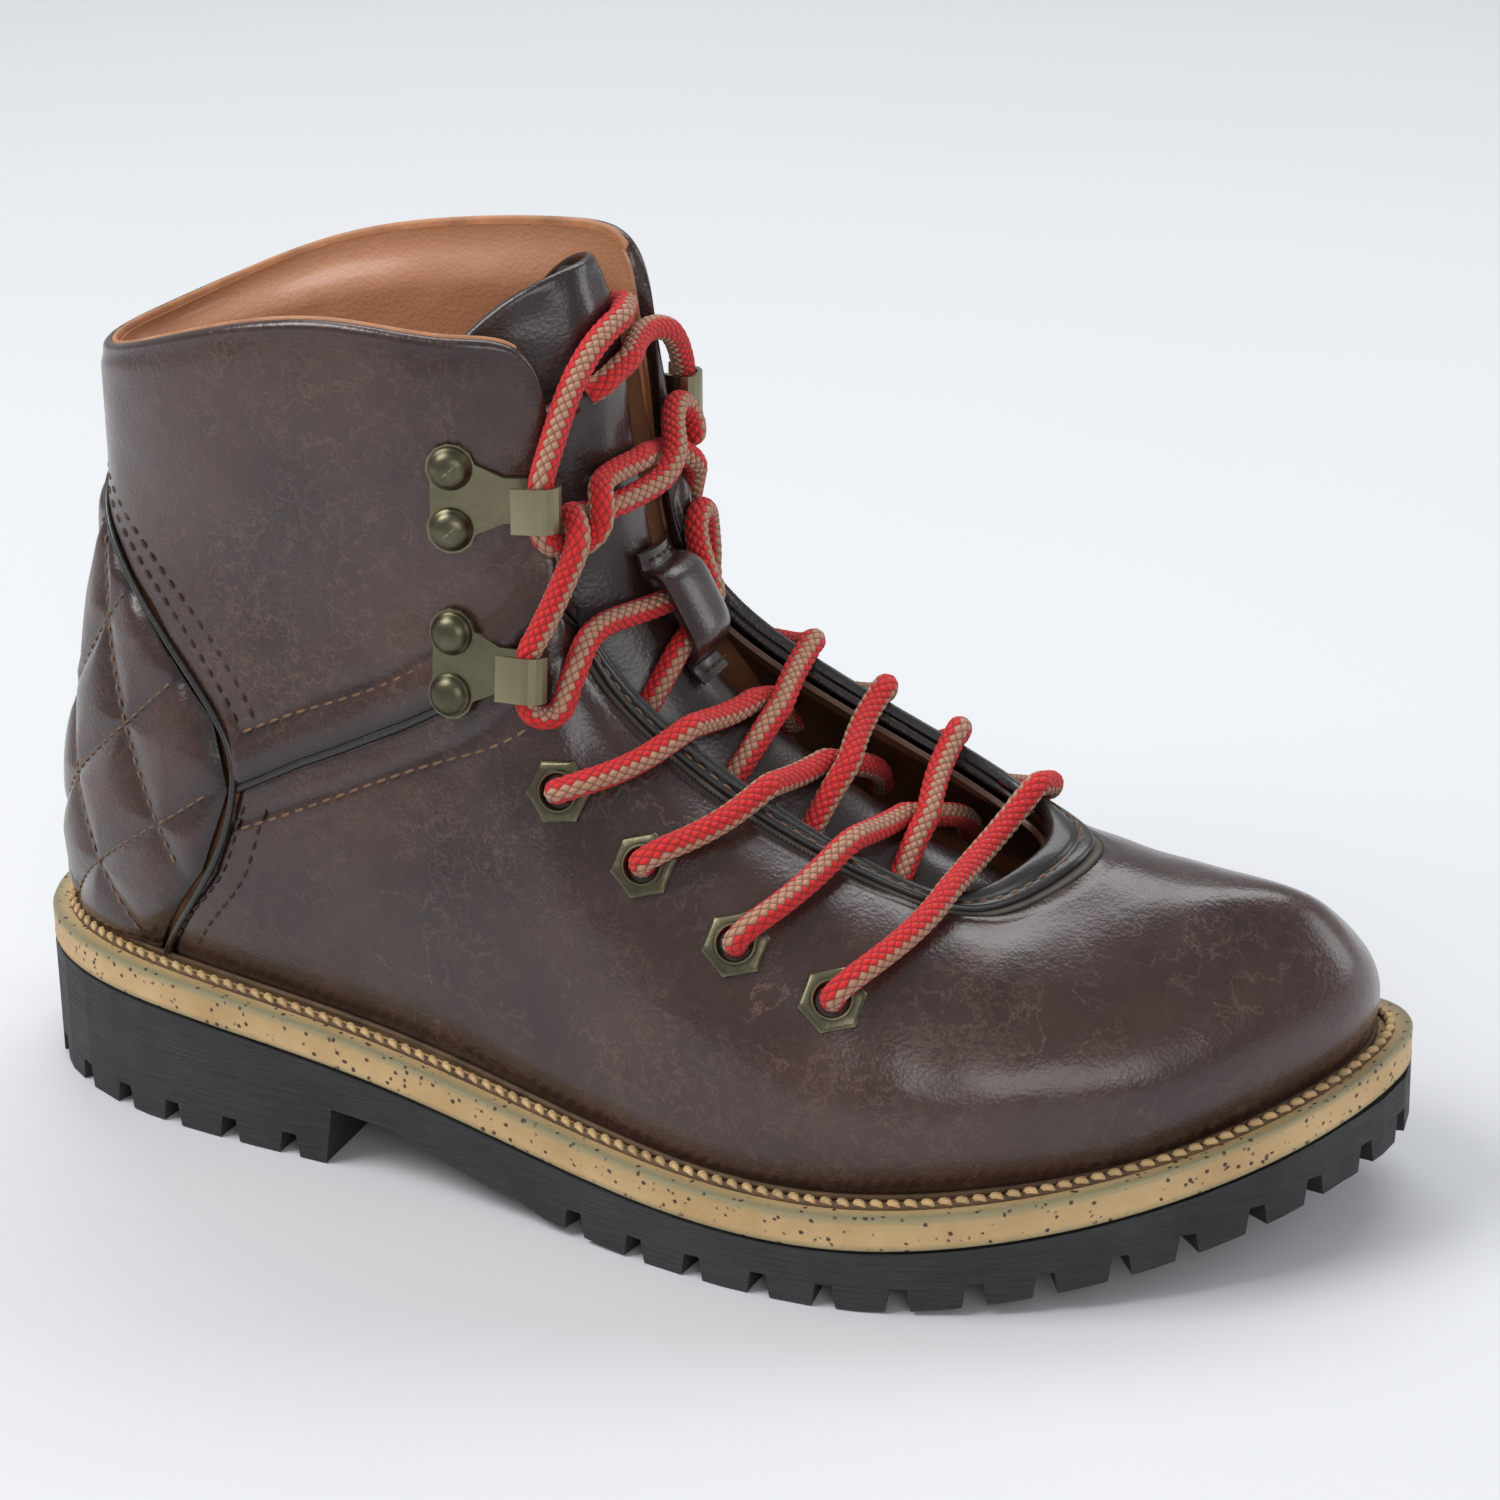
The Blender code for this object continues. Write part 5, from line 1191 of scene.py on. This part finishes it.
def seams():
    """Thread along every seam that shows."""
    ankle = [(2.46, 0.441), (2.82, 0.483), (3.32, 0.533), (3.78, 0.590)]
    lower = [(2.5, 0.304), (3.08, 0.379), (3.85, 0.467), (4.78, 0.567), (5.6, 0.675), (6.2, 0.76)]
    upper_patch = [(0.12, 0.755), (0.55, 0.735), (1.08, 0.685), (1.85, 0.585), (2.30, 0.490), (2.46, 0.441)]
    upper_patch_2 = [(0.12, 0.775), (0.55, 0.756), (1.16, 0.703), (1.95, 0.600), (2.40, 0.505),
                     (2.56, 0.452)]
    lower_patch = [(2.52, 0.345), (2.47, 0.290), (2.40, 0.217), (2.18, 0.120), (2.00, 0.035)]
    lower_patch_2 = [(2.66, 0.345), (2.61, 0.290), (2.54, 0.217), (2.33, 0.120), (2.15, 0.035)]
    rows = {"ankle": (ankle, 0.05), "lower": (lower, 0.0), "patch_a": (upper_patch, 0.1),
            "patch_b": (upper_patch_2, 0.1), "patch_c": (lower_patch, 0.1), "patch_d": (lower_patch_2, 0.1)}
    for name, (places, lift) in rows.items():
        finish = THREAD_LIGHT if name in ("ankle", "lower") else THREAD
        size = {"length": 2.5, "gap": 1.0, "radius": 0.34}
        sewn_row("seam_" + name + "_lateral", places, lift, finish, **size)
        sewn_row("seam_" + name + "_medial", mirrored(places), lift, finish, **size)
    for side, sign in (("lateral", 1), ("medial", -1)):
        rim = [(1.90, 0.0), (2.02, 0.06), (2.33, 0.217), (2.44, 0.358), (2.30, 0.45), (1.76, 0.56),
               (1.0, 0.66), (0.35, 0.722), (0.0, 0.73)]
        path = surface_path([(sign * u, v) for u, v in rim], 1.0)
        tube("patch_piping_" + side, upper(path[:, 0], path[:, 1], -0.4), 0.75, BLACK, sides=12)
        u = np.linspace(2.44, 6.7, 260)
        gap = upper(sign * u, seam(u) + 0.001, 0.9)
        tube("seam_fill_" + side, gap, 1.1, BLACK, sides=10)


lower_leather()
for which in ("lateral", "medial"):
    ankle_leather(which)
heel_quilt()
lining_leather()
collar_rim()
throat_binding()
seams()


# ---------------------------------------------------------------- tongue

def tongue_pieces():
    """The padded tongue, its mesh lining, the strap on it and the gussets beside it."""
    t = levels(90, 178)
    s = np.sin(np.linspace(-1, 1, 60) * math.pi / 2)
    grid_t, grid_s = np.meshgrid(t, s, indexing="ij")
    grid_t = grid_t - 0.045 * np.abs(grid_s) ** 5 * smooth_step(grid_t, 0.8, 1.0)
    base = tongue_surface(grid_t, grid_s)
    _, high, left, right = edge_distance(base)
    edge = np.minimum(high, np.minimum(left, right))
    upper_part = smooth_step(grid_t, 0.62, 0.75)
    soft = (wander(base, 12.0, 2.5) * 0.35 + wander(base, 5.0, 0.7) * 0.10) * smooth_step(edge, 0, 4)
    ribs = 0.35 * np.cos(grid_s * 9) * upper_part * smooth_step(edge, 1, 5)
    depth = rounding(edge, 1.3) + soft + ribs
    outer = tongue_surface(grid_t, grid_s, depth)
    inner = tongue_surface(grid_t, grid_s, 1.65 - 0.3 * rounding(edge, 1.3))
    wear_and_shade = np.clip(np.exp(-edge / 2.5) * 0.5, 0, 1)
    made = shell("tongue_leather", outer, inner, TONGUE_BROWN, burnish_and_shade=wear_and_shade, body="tongue")
    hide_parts("tongue")

    inset = np.clip(grid_t, 0.05, 0.985), np.clip(grid_s * 0.93, -0.93, 0.93)
    base = tongue_surface(*inset, 1.8)
    puff = 3.2 * (1 - np.exp(-(np.minimum(edge, 20) / 3.0)))
    made = shell("tongue_mesh", base, tongue_surface(*inset, 1.9 + puff), MESH_CLOTH, body="tongue")
    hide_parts("tongue_lining")

    for side, sign in (("lateral", -1), ("medial", 1)):
        count = 110
        t = np.linspace(0.10, 0.78, count)
        tongue_edge = tongue_surface(t, 0 * t + sign, 0.6)
        u = np.interp(t, [0.10, 0.44, 0.62, 0.80], [8.9, 6.2, 5.0, 4.3])
        v = np.interp(t, [0.44, 0.62, 0.80], [0.45, 0.66, 0.82])
        slack = np.interp(t, [0.44, 0.62], GUSSET_SLACK)
        quarter_side = upper(u if sign < 0 else COLUMNS - u, v, LINING_DEPTH + LINING + slack)
        share = np.linspace(0.10, 0.97, 28)[:, None, None]
        strip = tongue_edge * (1 - share) + quarter_side * share
        wave = np.sin(share[:, :, 0] * math.pi)
        strip[:, :, 2] -= 4.0 * wave + 0.9 * np.sin(share[:, :, 0] * 12 + t * 9) * wave
        upward = sheet_normals(strip)
        below = strip - upward * np.sign(upward[:, :, 2].mean())
        made = shell("gusset_leather_" + side, strip, below, TONGUE_BROWN, body=None)
        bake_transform(made)
        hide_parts("gusset_" + side)

    arch = [(-15.5, 2.0), (-12.5, 1.5), (-10.0, 1.8), (-9.2, 4.6), (-7.0, 7.4), (0, 8.2), (7.0, 7.4),
            (9.2, 4.6), (10.0, 1.8), (14.5, 2.0)]
    cover = [(-15.5, 3.2), (-12.5, 2.9), (-11.2, 3.4), (-10.6, 5.4), (-7.8, 8.8), (0, 9.7), (7.8, 8.8),
             (10.6, 5.4), (11.2, 3.4), (14.5, 3.4)]
    fine = np.linspace(0, len(arch) - 1, 90)
    low_line = spline(np.arange(len(arch)), arch, fine)
    high_line = spline(np.arange(len(cover)), cover, fine)
    across = np.linspace(-1, 1, 13)
    crown = 0.45 * (1 - across ** 2) - 0.55 * np.abs(across) ** 6
    where_t = LOOP_T + high_line[:, :1] / TONGUE_RUN + 0 * across
    outer = tongue_surface(where_t, LOOP_HALF * across + 0 * where_t, -(high_line[:, 1:] + crown))
    where_t = LOOP_T + low_line[:, :1] / TONGUE_RUN + 0 * across
    inner = tongue_surface(where_t, LOOP_HALF * across + 0 * where_t, -(low_line[:, 1:] + 0 * across))
    made = shell("lace_keeper", outer, inner, TONGUE_BROWN, body="tongue")
    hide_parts("tongue_loop")
    for number, place in enumerate((-13.6, 12.6)):
        across = np.linspace(-0.22, 0.22, 60)
        where_t = np.full(60, LOOP_T + place / TONGUE_RUN)
        seat = tongue_surface(where_t, across, -3.75)
        out = tongue_surface(where_t, across, -4.75) - seat
        stitches(f"keeper_stitch_{number}", seat, out, THREAD, length=1.7, gap=0.7, radius=0.28,
                 body="tongue")


tongue_pieces()


# ---------------------------------------------------------------- sole

def ring_at(inset, count, height):
    ring = sole_outline(count, inset)
    return np.column_stack([ring, welt_top(ring[:, 0]) + height])


def sole_pieces():
    """The speckled band with bevelled edges, the beaded ridge on its top and the seam at the upper."""
    count = 420
    section = [(0.9, 0.0, 1.0), (0.35, -0.25, 1.0), (0.0, -0.9, 0.6), (0.05, -1.5, 0.1), (0.1, -3.6, 0.0),
               (0.1, -5.8, 0.0), (0.0, -6.7, 0.5), (0.3, -7.25, 1.0), (1.2, -7.35, 1.0),
               (8.0, -7.35, 0.2), (8.0, -2.2, 0.0),
               (9.6, -0.2, 0.0), (8.2, -0.05, 0.2), (6.0, 0.0, 0.1), (3.0, 0.0, 0.3)]
    rings = np.array([ring_at(inset, count, height) for inset, height, _ in section])
    faces = grid_faces(len(section), count, closed=True)
    last = (len(section) - 1) * count
    faces += [[last + k, last + (k + 1) % count, (k + 1) % count, k] for k in range(count)]
    tint = np.repeat([tone for _, _, tone in section], count)
    made = piece("sole_band", rings.reshape(-1, 3), faces, BAND_TAN, sharp=35, attributes={"edge": tint})
    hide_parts("welt", "midsole")

    ridge = ring_at(4.6, 900, 0.15)
    tube("welt_ridge", ridge[::3], 0.95, GLUE, sides=10, closed=True)
    out = np.zeros_like(ridge)
    out[:, 2] = 1
    stitches("welt_beads", np.vstack([ridge, ridge[:1]]) + (0, 0, 0.75), np.vstack([out, out[:1]]), BEAD,
             length=2.9, gap=0.45, radius=0.85, slant=0.9)
    tube("feather_line", ring_at(7.9, 600, 0.35)[::2], 0.8, GLUE, sides=8, closed=True)
    around = np.linspace(0, COLUMNS, 500, endpoint=False)
    hem = upper(around, np.full_like(around, 0.004), -0.35)
    tube("feather_edge", hem, 0.7, GLUE, sides=8, closed=True)


def dress(name, finish, width=0.0):
    """Gives a CAD node its finish and, if asked, softened edges."""
    made = NODES[name]
    made.data.materials.clear()
    made.data.materials.append(finish)
    if width:
        soft = made.modifiers.new("soft_edges", "BEVEL")
        soft.width = width * MM
        soft.segments = 2
        soft.limit_method = "ANGLE"
        soft.angle_limit = math.radians(35)


sole_pieces()
dress("outsole", RUBBER, 0.45)
dress("insole_board", FOOTBED)
dress("footbed", FOOTBED, 0.6)
dress("collar_padding", MESH_CLOTH)
dress("heel_counter", FOOTBED)
dress("toe_puff", FOOTBED)
dress("shank", BRASS)


# ---------------------------------------------------------------- hardware

def eyelets():
    """Hexagonal eyelets with a chamfered flange and a rolled lip round the hole."""
    bore = EYELET_BORE / 2
    corner = 6.0 / math.cos(math.pi / 6)
    profile = [("round", bore, -2.3), ("round", bore, 0.6), ("round", bore + 0.12, 1.3),
               ("round", bore + 0.45, 1.75),
               ("round", bore + 0.9, 1.7), ("round", bore + 1.15, 1.35), ("hex", 0.88, 1.3),
               ("hex", 0.95, 1.1),
               ("hex", 1.0, 0.7), ("hex", 1.0, 0.3), ("round", bore + 0.6, 0.3), ("round", bore + 0.6, -2.3)]
    sides = 48
    lateral, medial = eyelet_places()
    for side, places in (("lateral", lateral), ("medial", medial)):
        for number, (u, v) in enumerate(places, 1):
            place, normal, rise = frame_at(u, v)
            across = np.cross(normal, rise)
            angles = np.linspace(0, 2 * math.pi, sides, endpoint=False)
            hexagon = corner * math.cos(math.pi / 6) / np.cos(np.mod(angles, math.pi / 3) - math.pi / 6)
            points = []
            for kind, size, height in profile:
                radius = hexagon * size if kind == "hex" else np.full(sides, size)
                flat = across[None] * np.cos(angles)[:, None] + rise[None] * np.sin(angles)[:, None]
                points.append(place + flat * radius[:, None] + normal * height)
            faces = grid_faces(len(profile), sides, closed=True)
            last = (len(profile) - 1) * sides
            faces += [[last + k, last + (k + 1) % sides, (k + 1) % sides, k] for k in range(sides)]
            points = np.array(points).reshape(-1, 3)
            made = piece(f"hex_eyelet_{side}_{number}", points, faces, BRASS, sharp=32)
            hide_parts(f"eyelet_{side}_{number}")


def rivets():
    """Domed rivet heads with a thin skirt."""
    dome = [(4.3, 0.0), (4.4, 0.25), (4.3, 0.55), (4.0, 0.75), (3.85, 0.95), (3.5, 1.5), (2.9, 2.05),
            (2.0, 2.45),
            (1.0, 2.62), (0.25, 2.68)]
    sides = 40
    for side in ("lateral", "medial"):
        for level, v in zip(("lower", "upper"), HOOK_V):
            hook = Hook(side, v)
            dress(f"hook_{side}_{level}", BRASS, 0.28)
            for end, b in (("top", 6.2), ("bottom", -6.2)):
                base = hook.at(RIVET_AT, b, PLATE_LIFT + PLATE_THICK + 0.1)
                across = np.cross(hook.out, hook.up)
                points = []
                for radius, height in dome:
                    for angle in np.linspace(0, 2 * math.pi, sides, endpoint=False):
                        flat = across * math.cos(angle) + hook.up * math.sin(angle)
                        points.append(base + flat * radius + hook.out * height)
                faces = grid_faces(len(dome), sides, closed=True)
                faces.append(list(range(sides))[::-1])
                faces.append([(len(dome) - 1) * sides + k for k in range(sides)])
                made = piece(f"rivet_head_{side}_{level}_{end}", np.array(points), faces, BRASS)
                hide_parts(f"rivet_{side}_{level}_{end}")


eyelets()
rivets()


# ---------------------------------------------------------------- floor

def make_floor():
    made, tree, shader = new_material("floor", roughness=0.6)
    where = coordinates(tree)
    tree.links.new(mixed(tree, noise(tree, where, 3, 2), (0.68, 0.69, 0.705), (0.71, 0.72, 0.735)),
                   shader.inputs["Base Color"])
    shader.inputs["Specular IOR Level"].default_value = 0.2
    mesh = bpy.data.meshes.new("floor")
    half, height = 8, -0.0002
    corners = [(-half, -half, height), (half, -half, height), (half, half, height), (-half, half, height)]
    mesh.from_pydata(corners, [], [(0, 1, 2, 3)])
    mesh.materials.append(made)
    floor = bpy.data.objects.new("floor", mesh)
    bpy.context.scene.collection.objects.link(floor)


make_floor()
